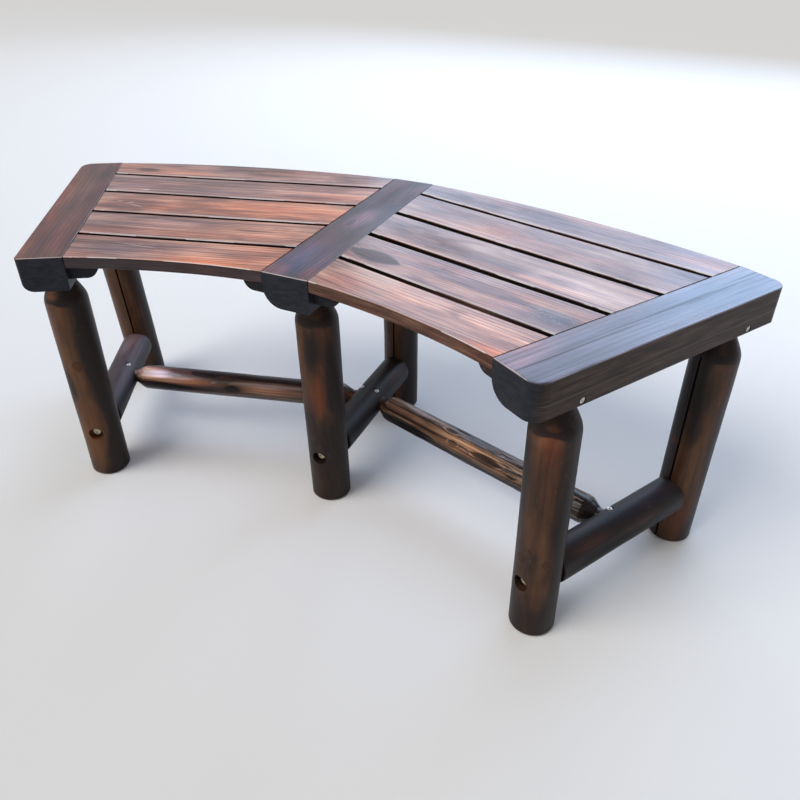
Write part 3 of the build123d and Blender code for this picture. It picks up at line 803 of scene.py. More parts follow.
# cross stretchers, front leg to back leg
crosses = {
    "radius": 0.0275,
    "neck": 0.0265,  # at the eased ends
    "shape": {"End Stub": 0.0, "End Slope": 1.0, "End Round": 0.002, "Wave": 0.0009, "Steps": 150},
    "pocket": 0.007,
    "screwBore": {"radius": 0.0053, "depth": 0.0042, "above": 0.0020},
    # the side that gets the painted light, mostly the top
    "pale": {"left": (0.2, -0.3, 1.0), "centre": (0.0, 0.4, 1.0), "right": (0.4, -0.6, 1.0)},
}
crossWood = burntWood("crossWood", {
    **legLook,
    "seed": 5.0,
    "burns": [],
    "colours": shades(logStops, (10, 7, 7), (26, 16, 14), (46, 28, 25), (80, 48, 38)),
    "mood": (0.5, rgb(1.3, 0.75, 0.70)), "glow": (0.7, 0.35), "scorchFrom": -0.25, "scorchTo": 0.22,
    "char": rgb(0.0150, 0.0135, 0.0150),
    "knots": [],
    "stains": onEach(onLog, {
        "cross_stretcher_left": [
            # painted sheen: the next two entries brighten this log's top with the bluish sky reflection
            ((100, 10, 26), (130, 30, 30), (3.7, 4, 4.9), 0.95),
            ((240, 0, 26), (90, 30, 30), (4.4, 4.3, 4.6), 0.95),
        ],
        "cross_stretcher_centre": [
            ((120, 6, 26), (160, 30, 30), (0.5, 0.48, 0.46), 0.9),
            ((200, 20, 18), (60, 10, 10), (2.4, 1.5, 1.4), 0.8),
        ],
        "cross_stretcher_right": [
            # painted sheen: a bluish patch along the top
            ((220, 4, 26), (120, 16, 20), (1.5, 1.9, 2.8), 0.9),
            ((60, 17, 21), (40, 9, 9), (2.6, 1.6, 1.5), 0.9),
            ((160, 23, 13), (50, 8, 9), (2.2, 1.5, 1.45), 0.9),
            # painted shade on the lower near flank
            ((80, 27, 2), (100, 8, 10), (0.35, 0.37, 0.4), 0.9),
        ],
    }),
    "dull": onEach(onLog, {
        "cross_stretcher_centre": [((120, 0, 26), (180, 40, 40), 0.1)],
        "cross_stretcher_right": [((100, 27, 3), (140, 10, 13), 0.16)],
    }),
    "rough": 0.50, "coat": 0.20, "coatRough": 0.42,
})


def fastenerPlaces(node):
    # the middle of each head's top and the way it faces, found from the frame's own fasteners
    shape = bmesh.new()
    shape.from_mesh(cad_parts[node].data)
    bmesh.ops.remove_doubles(shape, verts=shape.verts, dist=1e-6)
    places = []
    left = set(shape.verts)
    while left:
        island, edge = set(), [left.pop()]
        while edge:
            vertex = edge.pop()
            island.add(vertex)
            others = {link.other_vert(vertex) for link in vertex.link_edges} & left
            left -= others
            edge.extend(others)
        points = np.array([vertex.co for vertex in island])
        middle = points.mean(0)
        axis = np.linalg.svd(points - middle, full_matrices=False)[2][0]
        along = (points - middle) @ axis
        spread = np.linalg.norm(points - middle - np.outer(along, axis), axis=1)
        if along[spread.argmax()] < 0:
            axis, along = -axis, -along
        centre = points[spread > spread.max() * 0.98].mean(0)
        centre = centre + axis * (along.max() - (centre - middle) @ axis)
        places.append((Vector(centre), Vector(axis)))
    shape.free()
    return sorted(places, key=lambda item: tuple(round(c, 4) for c in item[0]))


for side in bench["angles"]:
    front, back, direction = crossLine(side)
    letIn = direction * (legs["radius"] - crosses["pocket"] + 0.001)
    start, end = front + letIn, back - letIn
    bore = crosses["screwBore"]
    bores = []
    for head, facing in fastenerPlaces("stretcher_screws"):
        offset = head - start
        if (offset - direction * offset.dot(direction)).length < crosses["radius"] + 0.004:
            bores.append((head + facing * bore["above"], facing, bore["radius"], bore["depth"]))
    necks = {"Start Neck": crosses["neck"], "End Neck": crosses["neck"]}
    size = {**crosses["shape"], **necks, "Radius": crosses["radius"]}
    node = f"cross_stretcher_{side}"
    makeLog(node, crossWood, start, end, upwards, size, [crosses["pale"][side]], None, bores)
print("cross stretchers done")

# long stretchers, tenoned into the cross stretchers
longs = {
    "radius": 0.0225,
    "tenonRadius": 0.0125,
    "setback": 0.158,
    "stop": 0.007,
    "coneLength": 0.018,
    # the side that gets the painted light
    "pale": {"left": (0.0, -1.0, 0.3), "right": (0.0, -0.6, 0.8)},
    "ridge": {"left": 0.0, "right": 0.0060},
    "round": 0.003,
    "shape": {"Steps": 280, "Sides": 144, "Wave": 0.0011},
}
longLooks = {
    "left": {
        "seed": 8.0,
        "burns": onLog("long_stretcher_left", [
            ((395, -13, 18), (70, 18, 14), -1.3), ((335, -20, 10), (50, 8, 8), -1),
            ((178, -21, 7), (75, 10, 8), -1.3), ((183, -16, 15), (75, 7, 7), -0.6),
            ((185, 0, 22), (90, 12, 10), 0.6), ((245, -22, 5), (20, 10, 7), 1.1),
            ((385, -22, -2), (90, 10, 8), 0.8), ((300, -8, 21), (40, 8, 6), 0.5),
        ]),
        "colours": shades(logStops, (22, 10, 8), (65, 31, 20), (125, 65, 40), (220, 125, 80)),
        "scorchScale": (7.0, 34, 34), "glow": (0.5, 0.35), "scorchFrom": -0.10, "scorchTo": 0.14,
        "streak": 1.5, "lines": 0.6, "lineColour": rgb(0.35, 0.30, 0.28), "paleLine": rgb(0.06, 0.04, 0.03),
        "stains": onLog("long_stretcher_left", [
            # the next three entries are a painted highlight along the top near the left end
            ((420, -10, 20), (50, 16, 14), (9, 12, 15), 0.97),
            ((350, -13, 18), (65, 11, 8), (2.8, 3.9, 6.2), 0.9),
            ((350, -19, 11), (75, 7, 7), (4.2, 4.2, 4.2), 0.9),
            ((285, -2, 22), (160, 9, 10), (1.1, 0.85, 1.15), 0.9),
            # painted shade along the lower front side
            ((360, -22, -3), (120, 12, 8), (0.4, 0.32, 0.3), 0.95),
            ((245, -21, 6), (24, 9, 8), (0.35, 0.32, 0.36), 0.9),
            ((178, -21, 6), (75, 9, 8), (3.8, 3.4, 3), 0.95),
            ((183, -16, 15), (75, 7, 7), (2.8, 3.4, 5), 0.9),
        ]),
        "marks": onLog("long_stretcher_left", [
            ((358, -12.3, 18.8), (13, 1.6, 1.6), 0.03, 0.8), ((283, -18.5, 12.5), (8, 1.3, 1.3), -0.12, 0.7),
        ]),
        "markColour": rgb(0.30, 0.34, 0.42),
        "dull": onLog("long_stretcher_left", [
            ((360, -22, -3), (120, 12, 9), 0.45), ((245, -22, 4), (30, 10, 9), 0.35),
            ((285, -2, 22), (160, 9, 10), 0.3),
        ]),
        "knots": onLog("long_stretcher_left", [((264, -12, 19), (20, 7.5))]),
        "haloColour": rgb(0.030, 0.016, 0.012), "haloAmount": 0.6, "knotColour": rgb(0.070, 0.036, 0.028),
        "knotOutline": 0.8, "knotRim": rgb(0.006, 0.005, 0.006), "rough": 0.38, "coat": 0.55,
        "coatRough": 0.26, "fibreDepth": 0.15,
    },
    "right": {
        "seed": 12.0,
        "burns": onLog("long_stretcher_right", [
            ((80, 22, -4), (60, 14, 11), 1.6), ((134, 22.5, 0), (26, 10, 5), 1.2),
            ((225, 16, 16), (65, 12, 10), -0.5), ((350, 18, 13), (80, 14, 12), -0.2),
            ((440, 12, 16), (30, 20, 20), 0.6), ((250, 21, -10), (120, 10, 5), 0.4),
        ]),
        "stains": onLog("long_stretcher_right", [
            ((215, 16, 15), (70, 14, 12), (2.1, 2, 1.9), 0.9),
            ((320, 16, 15), (70, 14, 12), (1.7, 1.75, 1.85), 0.9),
            ((65, 15, 16), (60, 20, 16), (0.72, 0.62, 0.58), 0.9),
            ((180, 3, 22), (140, 8, 8), (1.05, 1.2, 1.6), 0.8),
            ((85, 22.5, -3), (66, 12, 11), (0.1, 0.09, 0.1), 0.98),
            ((262, 18.6, 12.6), (36, 5, 6.5), (0.4, 0.36, 0.38), 0.9),
            ((450, 12, 16), (22, 20, 20), (0.4, 0.34, 0.34), 0.9),
        ]),
        "dull": onLog("long_stretcher_right", [
            ((85, 22.5, -4), (70, 12, 12), 0.5), ((262, 18.6, 12.6), (36, 5, 6.5), 0.3),
        ]),
        "coatLines": 0.5, "drift": 0.014, "ripple": 0.0030, "ringWidth": 0.0032, "rings": 0.35,
        "streak": 1.9, "streakScale": (4.0, 130, 130), "lines": 0.9, "lineColour": rgb(0.14, 0.11, 0.10),
        "paleLine": rgb(0.10, 0.07, 0.05),
        "colours": shades(contrastStops, (9, 5, 5), (60, 29, 16), (170, 92, 52), (400, 255, 165)),
        "mood": (0.5, rgb(1.1, 0.85, 0.65)), "scorchScale": (6.0, 50, 50), "scorchFrom": -0.07,
        "scorchTo": 0.08, "glow": (0.50, 0.30), "knotBend": 0.5,
        "knots": onLog("long_stretcher_right", [
            ((195, 19.1, 11.8), (11, 4)), ((262, 18.6, 12.6), (32, 6)), ((183, 4.6, 22), (14, 4)),
            ((266, 3.3, 22.3), (20, 3.6)), ((312, 21.3, 7.2), (10, 3.2)),
        ]),
        "knotOutline": 0.85, "knotRim": rgb(0.003, 0.002, 0.002), "haloColour": rgb(0.20, 0.115, 0.05),
        "haloAmount": 0.1, "knotColour": rgb(0.006, 0.004, 0.004), "rough": 0.42, "coat": 0.5,
        "coatRough": 0.2, "fibreDepth": 0.5, "ringDepth": 0.3,
    },
}


def jointPoint(side):
    front, _, direction = crossLine(side)
    return front + direction * longs["setback"]


def coneStart(side, along):
    slant = abs(along.dot(crossLine(side)[2]))
    return (crosses["radius"] + longs["tenonRadius"] * slant) / math.sqrt(1 - slant * slant) + 0.0003


for side, look in longLooks.items():
    wood = burntWood(f"long{side.title()}Wood", {**legLook, **look})
    near, far = jointPoint("centre"), jointPoint(side)
    along = (far - near).normalized()
    stop = along * longs["stop"]
    size = {**longs["shape"], "Radius": longs["radius"], "Ridge": longs["ridge"][side]}
    for end, joint in (("Start", "centre"), ("End", side)):
        size[end + " Neck"] = longs["tenonRadius"]
        size[end + " Stub"] = coneStart(joint, along) - longs["stop"]
        size[end + " Slope"] = (longs["radius"] - longs["tenonRadius"]) / longs["coneLength"]
        size[end + " Round"] = longs["round"]
    node = f"long_stretcher_{side}"
    makeLog(node, wood, near + stop, far - stop, upwards, size, [longs["pale"][side]])
print("long stretchers done")

# slats: boards let in between two beams, the outer two sawn to the curve
slats = {
    "count": 5,
    "thickness": 0.0175,
    "gap": 0.007,
    "endGap": 0.001,
    "firstShare": 0.162,
    "lastShare": 0.804,
    "frontRise": 0.011,
    "backRise": 0.019,
    "ease": 0.0018,
    "waver": 0.0010,
    "steps": 72,
    "frontDark": {"left": (1.0, 0.96), "right": (0.95, 0.90)},
    "redWall": {"left": 0.0, "right": 0.22},
    "redPlace": (0.05, 0.07),  # its middle and its spread along the panel
    # how much narrower each slat is: its near edge, then its far edge, at the left and the right end
    "cuts": {
        "left": (
            [(0, 0), (0.002, 0.002), (0.002, 0.002), (0.002, 0.001), (0.0, 0.0)],
            [(-0.002, -0.002), (-0.002, -0.002), (-0.002, -0.001), (0, 0), (0, 0)],
        ),
        "right": (
            [(0, 0), (0, 0), (0, 0), (0.0005, 0.0005), (0, 0)],
            [(0.0012, 0), (0.0042, 0.0006), (0.0024, 0.0014), (0, 0), (0, 0)],
        ),
    },
    "wallBand": 0.0014,  # what counts as an edge's wall
    # how much less the other edges are rubbed than a near one
    "rubbed": {"front": 0.0022, "far": 0.0008, "end": 0.0025, "deep": 0.0012, "hidden": 0.02},
    "coolCast": (0.68, 0.83, 1.18),
    "warmCast": (1.30, 1.08, 0.97),
    # how warm each slat is at its left and right end, front to back
    "warmth": {
        "left": [(0.25, 0.95), (0.35, 0.85), (0.70, 1.0), (0.25, 0.75), (0.45, 0.45)],
        "right": [(0.75, 0.85), (0.45, 0.20), (0.35, 0.45), (0.50, 0.30), (0.10, 0.40)],
    },
}


def slatValues(side):
    hand = -1 if side == "left" else 1
    slant = math.radians(abs(bench["angles"][side] / 2))
    cosine = math.cos(slant)
    inset = bench["halfBeam"] + slats["endGap"]
    aside = inset * math.sin(slant)
    depth = bench["backRadius"] - bench["frontRadius"]
    firstGap = bench["frontRadius"] + slats["firstShare"] * depth
    lastGap = bench["frontRadius"] + slats["lastShare"] * depth
    inner = bench["backRadius"] * cosine + aside
    outer = (bench["backRadius"] + bench["endBeamExtra"]) * cosine + aside
    return {
        "Slats": slats["count"], "Thickness": slats["thickness"], "Gap": slats["gap"],
        "First Gap": firstGap, "Pitch": (lastGap - firstGap) / (slats["count"] - 2),
        "Slope": math.tan(slant), "Inset": inset / cosine, "Top": bench["seatHeight"],
        "Front": bench["frontRadius"] * cosine + aside, "Front Rise": slats["frontRise"],
        "Back": (inner + outer) / 2, "Back Tilt": hand * (outer - inner) / 2, "Back Rise": slats["backRise"],
        "Ease": slats["ease"], "Waver": slats["waver"], "Steps": slats["steps"], "Seed": 2.0 + hand,
    }


def makeSlatTree():
    graph, given, size = startTree("seatSlats", slatValues("left"))
    width = 0.06
    line = graph.out("GeometryNodeCurvePrimitiveLine", None, {"Start": (-1, 0, 0), "End": (1, 0, 0)})
    rail = graph.out("GeometryNodeResampleCurve", None, {"Curve": line, "Count": size["Steps"]})
    spot = graph.out("GeometryNodeInputPosition")
    rail, railSpot = graph.capture(rail, spot)
    outline = {"Width": width, "Height": size["Thickness"]}
    outline = graph.out("GeometryNodeCurvePrimitiveQuadrilateral", None, outline)
    easing = {"Curve": outline, "Radius": size["Ease"], "Count": 3}
    section, sectionSpot = graph.capture(graph.out("GeometryNodeFilletCurve", {"mode": "POLY"}, easing), spot)
    board = graph.sweep(rail, section)
    row = graph.out("GeometryNodeMeshLine", None, {"Count": size["Slats"], "Offset": (0, 1, 0)})
    row, number = graph.capture(row, graph.out("GeometryNodeInputIndex"), "FLOAT")
    repeated = graph.out("GeometryNodeInstanceOnPoints", None, {"Points": row, "Instance": board})
    real = graph.out("GeometryNodeRealizeInstances", None, {0: repeated})
    number = Num(graph, number)
    reach, _, _ = graph.split(railSpot)
    across, height, _ = graph.split(sectionSpot)
    bow = 1 - reach * reach
    isFirst = graph.maths("LESS_THAN", number, 0.5)
    isLast = graph.maths("GREATER_THAN", number, size["Slats"] - 1.5)
    gapLine = size["First Gap"] + number * size["Pitch"]
    near = gapLine - size["Pitch"] + size["Gap"] / 2
    near = near + isFirst * (size["Front"] + size["Front Rise"] * bow - near)
    far = gapLine - size["Gap"] / 2
    far = far + isLast * (size["Back"] + size["Back Tilt"] * reach + size["Back Rise"] * bow - far)
    onFar = graph.maths("GREATER_THAN", across, 0.0)
    away = near + across + width / 2 + onFar * (far - near - width)
    sway = graph.noise(graph.vector(reach * 3.1, number * 5.0 + onFar * 2.0, 0.0), size["Seed"], 2.0)
    away = away + sway * size["Waver"] * (1 - onFar * 2)
    half = away * size["Slope"] - size["Inset"]
    level = graph.noise(graph.vector(reach * 1.1, number * 7.0, 3.0), size["Seed"], 1.0) - 0.5
    up = size["Top"] - size["Thickness"] / 2 + height - 0.0003 + level * 0.0006
    placed = graph.moved(real, graph.vector(reach * half, away, up))
    noted = graph.out(
        "GeometryNodeStoreNamedAttribute",
        {"data_type": "FLOAT_VECTOR", "domain": "POINT"},
        {"Geometry": placed, "Name": "slat", "Value": graph.vector(number, away - near, far - away)},
    )
    return endTree(graph, given, noted)


slatTree = makeSlatTree()
# the near-black of the gap walls is charred wood and painted shade in the gaps
slatSide = {"colours": shades((0.35, 0.75), (3.5, 3, 3.5), (14, 10, 9)), "end": 0.68}
slatLook = {
    "pith": (-0.9, -0.05), "driftScale": (1.6, 9, 9), "drift": 0.040, "ripple": 0.0016, "ringWidth": 0.0058,
    "rings": 0.12, "fibre": 0.95, "cloudScale": (9, 38, 38), "streakScale": (2.8, 85, 85),
    "fibreScale": (11, 460, 460), "lineColour": rgb(0.40, 0.33, 0.32), "paleLine": rgb(0.20, 0.15, 0.12),
    "mood": (0.7, rgb(1.35, 0.88, 0.62)), "moodScale": (3.6, 15, 15), "scorchScale": (8.0, 24, 24),
    # the wall colour on the line below is char with painted shade, for the top band of each gap wall
    "smoke": 0.7, "scorchFrom": 0.00, "scorchTo": 0.24, "wall": rgb(0.020, 0.008, 0.006),
    "scratch": (0.45, (22, 420, 420), 0.05), "scratchColour": rgb(0.50, 0.45, 0.42),
    "markColour": rgb(0.72, 0.66, 0.64),
    # rubbed edges: worn paler wood, partly a painted highlight along the arris
    "rim": {
        "from": 0.0010, "to": 0.0021, "ragged": 0.0013, "amount": 0.88, "colour": rgb(0.78, 0.71, 0.70),
        # the painted highlight along each slat's near edge, and its colour
        "gathered": 0.85, "gatheredColour": rgb(0.60, 0.50, 0.52),
    },
    "rough": 0.42, "coatScorch": -0.5, "coatRough": 0.20, "fibreDepth": 0.16, "ringDepth": 0.08,
    "waveDepth": 0.35,
}
slatLooks = {
    "left": {
        "seed": 21.0, "cloud": 0.98, "scorch": 0.66, "streak": 1.25, "lines": 0.7, "coatLines": 0.28,
        "stains": onEach(onSlat, {
            1: [
                ((-80, 690), (60, 40), (0.52, 0.57, 0.78), 0.85),
                ((-15, 700), (40, 14), (0.62, 0.64, 0.8), 0.8),
                ((55, 654), (85, 18), (1.85, 1.3, 0.72), 0.9),
                ((20, 678), (60, 14), (1.45, 1.35, 1.25), 0.8),
                ((90, 700), (90, 40), (1.24, 1.24, 1.24), 0.9),
            ],
            2: [
                ((-145, 765), (35, 26), (0.72, 0.68, 0.74), 0.8),
                ((-60, 770), (60, 30), (1.2, 1.15, 1.2), 0.8),
                ((-20, 792), (70, 12), (0.78, 0.82, 0.96), 0.8),
                ((110, 770), (120, 40), (1.2, 1.08, 1), 0.8),
            ],
            3: [
                ((-145, 860), (70, 40), (0.54, 0.39, 0.38), 0.9),
                ((-90, 845), (30, 12), (1.3, 0.95, 0.8), 0.8),
                ((50, 865), (200, 45), (1.3, 0.94, 0.72), 0.9), ((190, 860), (60, 30), (1.25, 1.1, 1), 0.8),
            ],
            4: [
                ((-170, 960), (80, 30), (0.7, 0.68, 0.84), 0.9),
                ((-90, 935), (110, 12), (0.8, 0.94, 1.25), 0.8),
                ((60, 950), (60, 20), (0.86, 0.92, 1.05), 0.8),
                ((130, 950), (130, 34), (1.34, 1.27, 1.3), 0.85),
            ],
            5: [
                ((60, 1045), (200, 34), (0.8, 0.74, 0.76), 0.85),
                ((-60, 1045), (70, 16), (0.66, 0.66, 0.72), 0.8),
                ((50, 1050), (60, 20), (1.2, 0.95, 0.78), 0.7),
            ],
        }),
        "marks": onEach(onSlat, {
            3: [
                ((-148, 862), (9, 0.9), 0.8, 0.8), ((-134, 852), (16, 0.9), -0.35, 0.8),
                ((-168, 868), (6, 1.2), 0.3, 0.7),
            ],
            1: [((-60, 700), (40, 0.7), -0.16, 0.55)],
            4: [((-150, 926), (8, 2.2), 0, 0.8)],
        }),
        "colours": shades(contrastStops, (110, 58, 46), (270, 135, 98), (470, 240, 165), (720, 430, 300)),
        "char": rgb(0.080, 0.053, 0.065), "coat": 0.62, "haloColour": rgb(0.12, 0.05, 0.035),
        "haloAmount": 0.3, "knotColour": rgb(0.11, 0.055, 0.045),
        "knots": onSlat(5, [((-193, 1030), (22, 8))]),
        "side": {**slatSide, "endColours": shades((0.35, 0.75), (30, 24, 27), (68, 54, 58))},
    },
    "right": {
        "seed": 27.0, "cloud": 1.15, "scorch": 0.76, "streak": 0.80, "lines": 0.5, "coatLines": 0.16,
        "stains": onEach(onSlat, {
            1: [
                ((-110, 675), (50, 30), (1.2, 0.8, 0.66), 0.8),
                ((60, 692), (180, 40), (1.78, 1.84, 1.86), 0.9),
                ((140, 655), (50, 10), (1.5, 1.05, 0.72), 0.8),
            ],
            4: [
                ((-110, 960), (70, 22), (0.8, 0.72, 0.74), 0.8),
                ((-170, 965), (70, 22), (0.62, 0.52, 0.54), 0.8),
                ((20, 950), (120, 14), (1.15, 0.98, 0.95), 0.8),
            ],
            5: [
                ((-60, 1030), (80, 20), (0.72, 0.74, 0.8), 0.8),
                ((0, 1040), (200, 22), (0.82, 0.86, 1.05), 0.8),
            ],
            2: [
                ((20, 775), (110, 12), (0.72, 0.86, 1.16), 0.8),
                ((100, 757), (50, 10), (1.15, 1.2, 1.45), 0.8),
                ((146, 773), (38, 17), (0.4, 0.72, 1.15), 0.9),
                ((-30, 800), (60, 10), (1.1, 0.8, 0.66), 0.8),
            ],
            3: [
                ((-100, 850), (90, 30), (0.58, 0.46, 0.46), 0.8),
                ((60, 838), (110, 10), (1.45, 1.15, 0.92), 0.8),
                ((130, 855), (100, 30), (2.15, 2.5, 2.6), 0.9),
            ],
        }),
        "dull": onEach(onSlat, {
            3: [((-100, 850), (110, 50), 0.21)],
            4: [((-110, 955), (140, 50), 0.16)],
            5: [((-80, 1030), (180, 50), 0.16)],
        }),
        "specks": onSlat(2, [((135, 772), (50, 22), 0.85)]),
        "marks": onEach(onSlat, {
            4: [((187, 914), (11, 2), 0, 0.85), ((158, 914), (8, 1.4), 0, 0.7)],
            3: [((163, 823.5), (7, 1.6), 0, 0.8)],
            5: [((10, 1006), (10, 1.6), 0, 0.6)],
        }),
        "colours": shades(contrastStops, (120, 64, 55), (260, 145, 118), (420, 258, 195), (620, 450, 325)),
        "char": rgb(0.070, 0.049, 0.060), "coat": 0.56, "haloColour": rgb(0.34, 0.18, 0.12),
        "haloAmount": 0.75, "knotColour": rgb(0.038, 0.026, 0.030), "knotOutline": 0.75,
        "knotRim": rgb(0.018, 0.008, 0.007),
        "knots": onSlat(2, [((-133, 762), (47, 16.5))]),
        "side": {
            **slatSide,
            "endColours": shades((0.34, 0.54, 0.74), (30, 12, 8), (100, 44, 27), (240, 135, 92)),
        },
    },
}

for side, look in slatLooks.items():
    wood = burntWood(f"slatWood{side.title()}", {**slatLook, **look})
    values = slatValues(side)
    mesh = growMesh(camel("slats_" + side), slatTree, {**values, "Material": wood})
    local = readVectors(mesh.vertices, "co")
    x, y, z = local.T
    # which slat each point is on, and how far away its near and its far edge are
    number, near, far = readVectors(mesh.attributes["slat"].data, "vector").T
    number = np.rint(number).astype(int)
    mesh.attributes.remove(mesh.attributes["slat"])
    alongShift, acrossShift = grainShift["slat"]
    writeAttribute(mesh, "grain", np.stack([x + alongShift * number, y + acrossShift * number, z], axis=1))
    rubbed = slats["rubbed"]
    below = np.where(z < bench["seatHeight"] - rubbed["deep"], rubbed["hidden"], 0.0)
    endReach = y * values["Slope"] - values["Inset"] - np.abs(x)
    # the reach to the near edge, where the painted highlight goes
    writeAttribute(mesh, "gather", near + below + (number == 0) * rubbed["front"])
    reach = np.stack([near, far + rubbed["far"], endReach + rubbed["end"]], axis=1)
    writeAttribute(mesh, "reach", reach + below[:, None])
    across = np.clip(x / 0.5 + 0.5, 0, 1)

    def between(ends):  # from a value at the left end to one at the right end
        return ends[..., 0] * (1 - across) + ends[..., 1] * across

    warm = between(np.array(slats["warmth"][side])[number])[:, None]
    cool, rosy = np.array(slats["coolCast"]), np.array(slats["warmCast"])
    writeAttribute(mesh, "tone", cool * (1 - warm) + rosy * warm)
    # where the gap walls take the dark colours, charred wood and painted shade; the front face and a reddish
    # spot on the second slat take less
    onEdge = (near < slats["wallBand"]) | (far < slats["wallBand"])
    aside, spread = slats["redPlace"]
    redder = slats["redWall"][side] * np.exp(-(((x - aside) / spread) ** 2)) * (number == 1)
    frontDark = between(np.array(slats["frontDark"][side]))
    wall = np.where((near < slats["wallBand"]) & (number == 0), frontDark, onEdge * (1 - redder))
    writeAttribute(mesh, "wall", wall)
    # some boards are planed narrower at one end, so their gaps open up
    nearCut, farCut = (between(np.array(cuts)[number]) for cuts in slats["cuts"][side])
    share = near / (near + far)
    local[:, 1] += nearCut * (1 - share) - farCut * share
    mesh.vertices.foreach_set("co", local.astype(np.float32).ravel())
    panelAngle = bench["angles"][side] / 2
    mesh.transform(axesAt(ringPoint(panelAngle, 0), rightOf(panelAngle), heading(panelAngle), upwards))
    nodes = [f"slat_{side}_{k + 1}" for k in range(slats["count"])]
    settle(camel("slats_" + side), mesh, nodes, wood, flatFaces=True)
print("slats done")

# beams: a cap on a rail, and the cleats beside them
beamStops = (0.2, 0.45, 0.62, 0.85)
beamLook = {
    "pith": (0.25, 0.1), "drift": 0.020, "driftScale": (1.6, 8, 8), "ripple": 0.0010, "ringWidth": 0.0040,
    "streak": 1.1, "rings": 0.12, "fibre": 0.34, "cloud": 0.9, "cloudScale": (9, 30, 30), "smoke": 0.7,
    "streakScale": (2.4, 60, 60), "fibreScale": (11, 380, 380), "mood": (0.6, rgb(1.5, 0.85, 0.60)),
    "moodScale": (4.5, 14, 14), "scorchScale": (5.5, 18, 18), "scorchFrom": -0.10, "scorchTo": 0.25,
    "scorch": 0.8, "lines": 0.7, "lineColour": rgb(0.40, 0.38, 0.40), "paleLine": rgb(0.07, 0.06, 0.06),
    "scratch": (0.22, (26, 300, 300), 0.08), "scratchColour": rgb(0.30, 0.27, 0.26), "rough": 0.45,
    "coatRough": 0.22, "fibreDepth": 0.16, "ringDepth": 0.06, "waveDepth": 0.4,
    # rubbed edges: worn paler wood, partly a painted highlight along the arris
    "rim": {"from": 0.0005, "to": 0.0016, "ragged": 0.0014, "amount": 0.8, "colour": rgb(0.62, 0.56, 0.55)},
}
beamSide = {
    "end": bench["frontRadius"],
    "endColours": shades((0.35, 0.75), (10.5, 12, 17.5), (27, 30, 41)), "seamAmount": 0.8,
    "seamColour": rgb(0.085, 0.070, 0.060),
}
beamLooks = {
    "left": {
        "seed": 33.0, "streak": 0.8, "lines": 0.45,
        "colours": shades(beamStops, (52, 22, 20), (118, 48, 40), (185, 80, 58), (280, 135, 94)),
        "char": rgb(0.062, 0.029, 0.036), "coat": 0.4,
        "stains": onCap([
            ((900, 30), (190, 22), (2.2, 1.7, 1.3), 0.9), ((684, 26), (40, 20), (1.45, 1.55, 1.45), 0.9),
            ((740, -5), (80, 26), (1.35, 1.05, 1.1), 0.9), ((880, -28), (260, 18), (0.78, 0.6, 0.8), 0.9),
            ((1060, -10), (50, 20), (0.9, 0.78, 0.86), 0.8),
        ]),
        "side": {**beamSide, "colours": shades((0.35, 0.7), (7.5, 7.5, 10), (17, 16, 19))},
    },
    "centre": {
        "seed": 37.0,
        "colours": shades(beamStops, (26, 19, 24), (64, 43, 52), (105, 68, 78), (180, 120, 125)),
        "char": rgb(0.022, 0.022, 0.030), "coat": 0.48,
        "stains": onCap([
            ((720, 0), (80, 50), (1.45, 1.9, 2.95), 0.9), ((671, 22), (26, 22), (2.6, 1.4, 1.1), 0.9),
            ((677, -26), (26, 14), (1.8, 1.1, 0.9), 0.9), ((800, 20), (90, 14), (1.6, 1.15, 1.2), 0.8),
            ((885, 0), (50, 20), (3.1, 2.8, 3.3), 0.9), ((840, -14), (40, 10), (0.45, 0.45, 0.55), 0.8),
            ((1010, -6), (80, 40), (1.4, 0.72, 0.8), 0.9), ((1050, 22), (50, 14), (1.5, 0.95, 0.95), 0.8),
        ]),
        "dull": onCap([((1030, 0), (150, 80), 0.27), ((900, 0), (80, 60), 0.06)]),
        "knots": onCap([((867, 9), (15, 5))]),
        "haloColour": rgb(0.11, 0.095, 0.11), "knotColour": rgb(0.05, 0.045, 0.05),
        "side": {**beamSide, "colours": shades((0.35, 0.7), (10, 9.5, 11), (22, 20, 22))},
    },
    "right": {
        "seed": 41.0, "rings": 0.16, "ringWidth": 0.0048, "streak": 1.3, "streakScale": (1.8, 90, 90),
        # the blue in these colours, in the char and in the patch at the back is painted sky reflection over
        # the wood's own tone
        "colours": shades(beamStops, (32, 29, 48), (76, 72, 120), (125, 118, 190), (210, 190, 280)),
        "mood": (0.55, rgb(1.7, 0.90, 0.60)), "char": rgb(0.036, 0.040, 0.072), "scorch": 0.55,
        "coat": 0.85, "lines": 1.0, "coatLines": 0.5, "lineColour": rgb(0.22, 0.20, 0.24),
        "stains": onCap([
            ((695, 20), (60, 26), (2.6, 1.6, 1.3), 0.9), ((702, 36), (30, 10), (1.8, 1.5, 1.3), 0.8),
            ((790, 28), (120, 8), (1.3, 0.9, 0.8), 0.8), ((720, 4), (70, 6), (0.55, 0.45, 0.5), 0.7),
            ((1000, 0), (130, 40), (0.42, 0.68, 0.95), 0.85), ((1060, 15), (40, 20), (1.3, 1.2, 1.05), 0.8),
        ]),
        "side": {
            **beamSide,
            "colours": shades((0.34, 0.52, 0.72), (18.5, 10.5, 8.2), (46, 27, 20), (92, 61, 48)),
        },
    },
}

for side, angle in bench["angles"].items():
    wood = burntWood("beamWood" + side.title(), {**beamLook, **beamLooks[side], "board": angle})
    for node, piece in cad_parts.items():
        isCleat = node.startswith("cleat_" + side) and not node.endswith("screws")
        if isCleat or node in ("cap_" + side, "rail_" + side):
            piece.data.materials.clear()
            piece.data.materials.append(wood)
print("beams done")

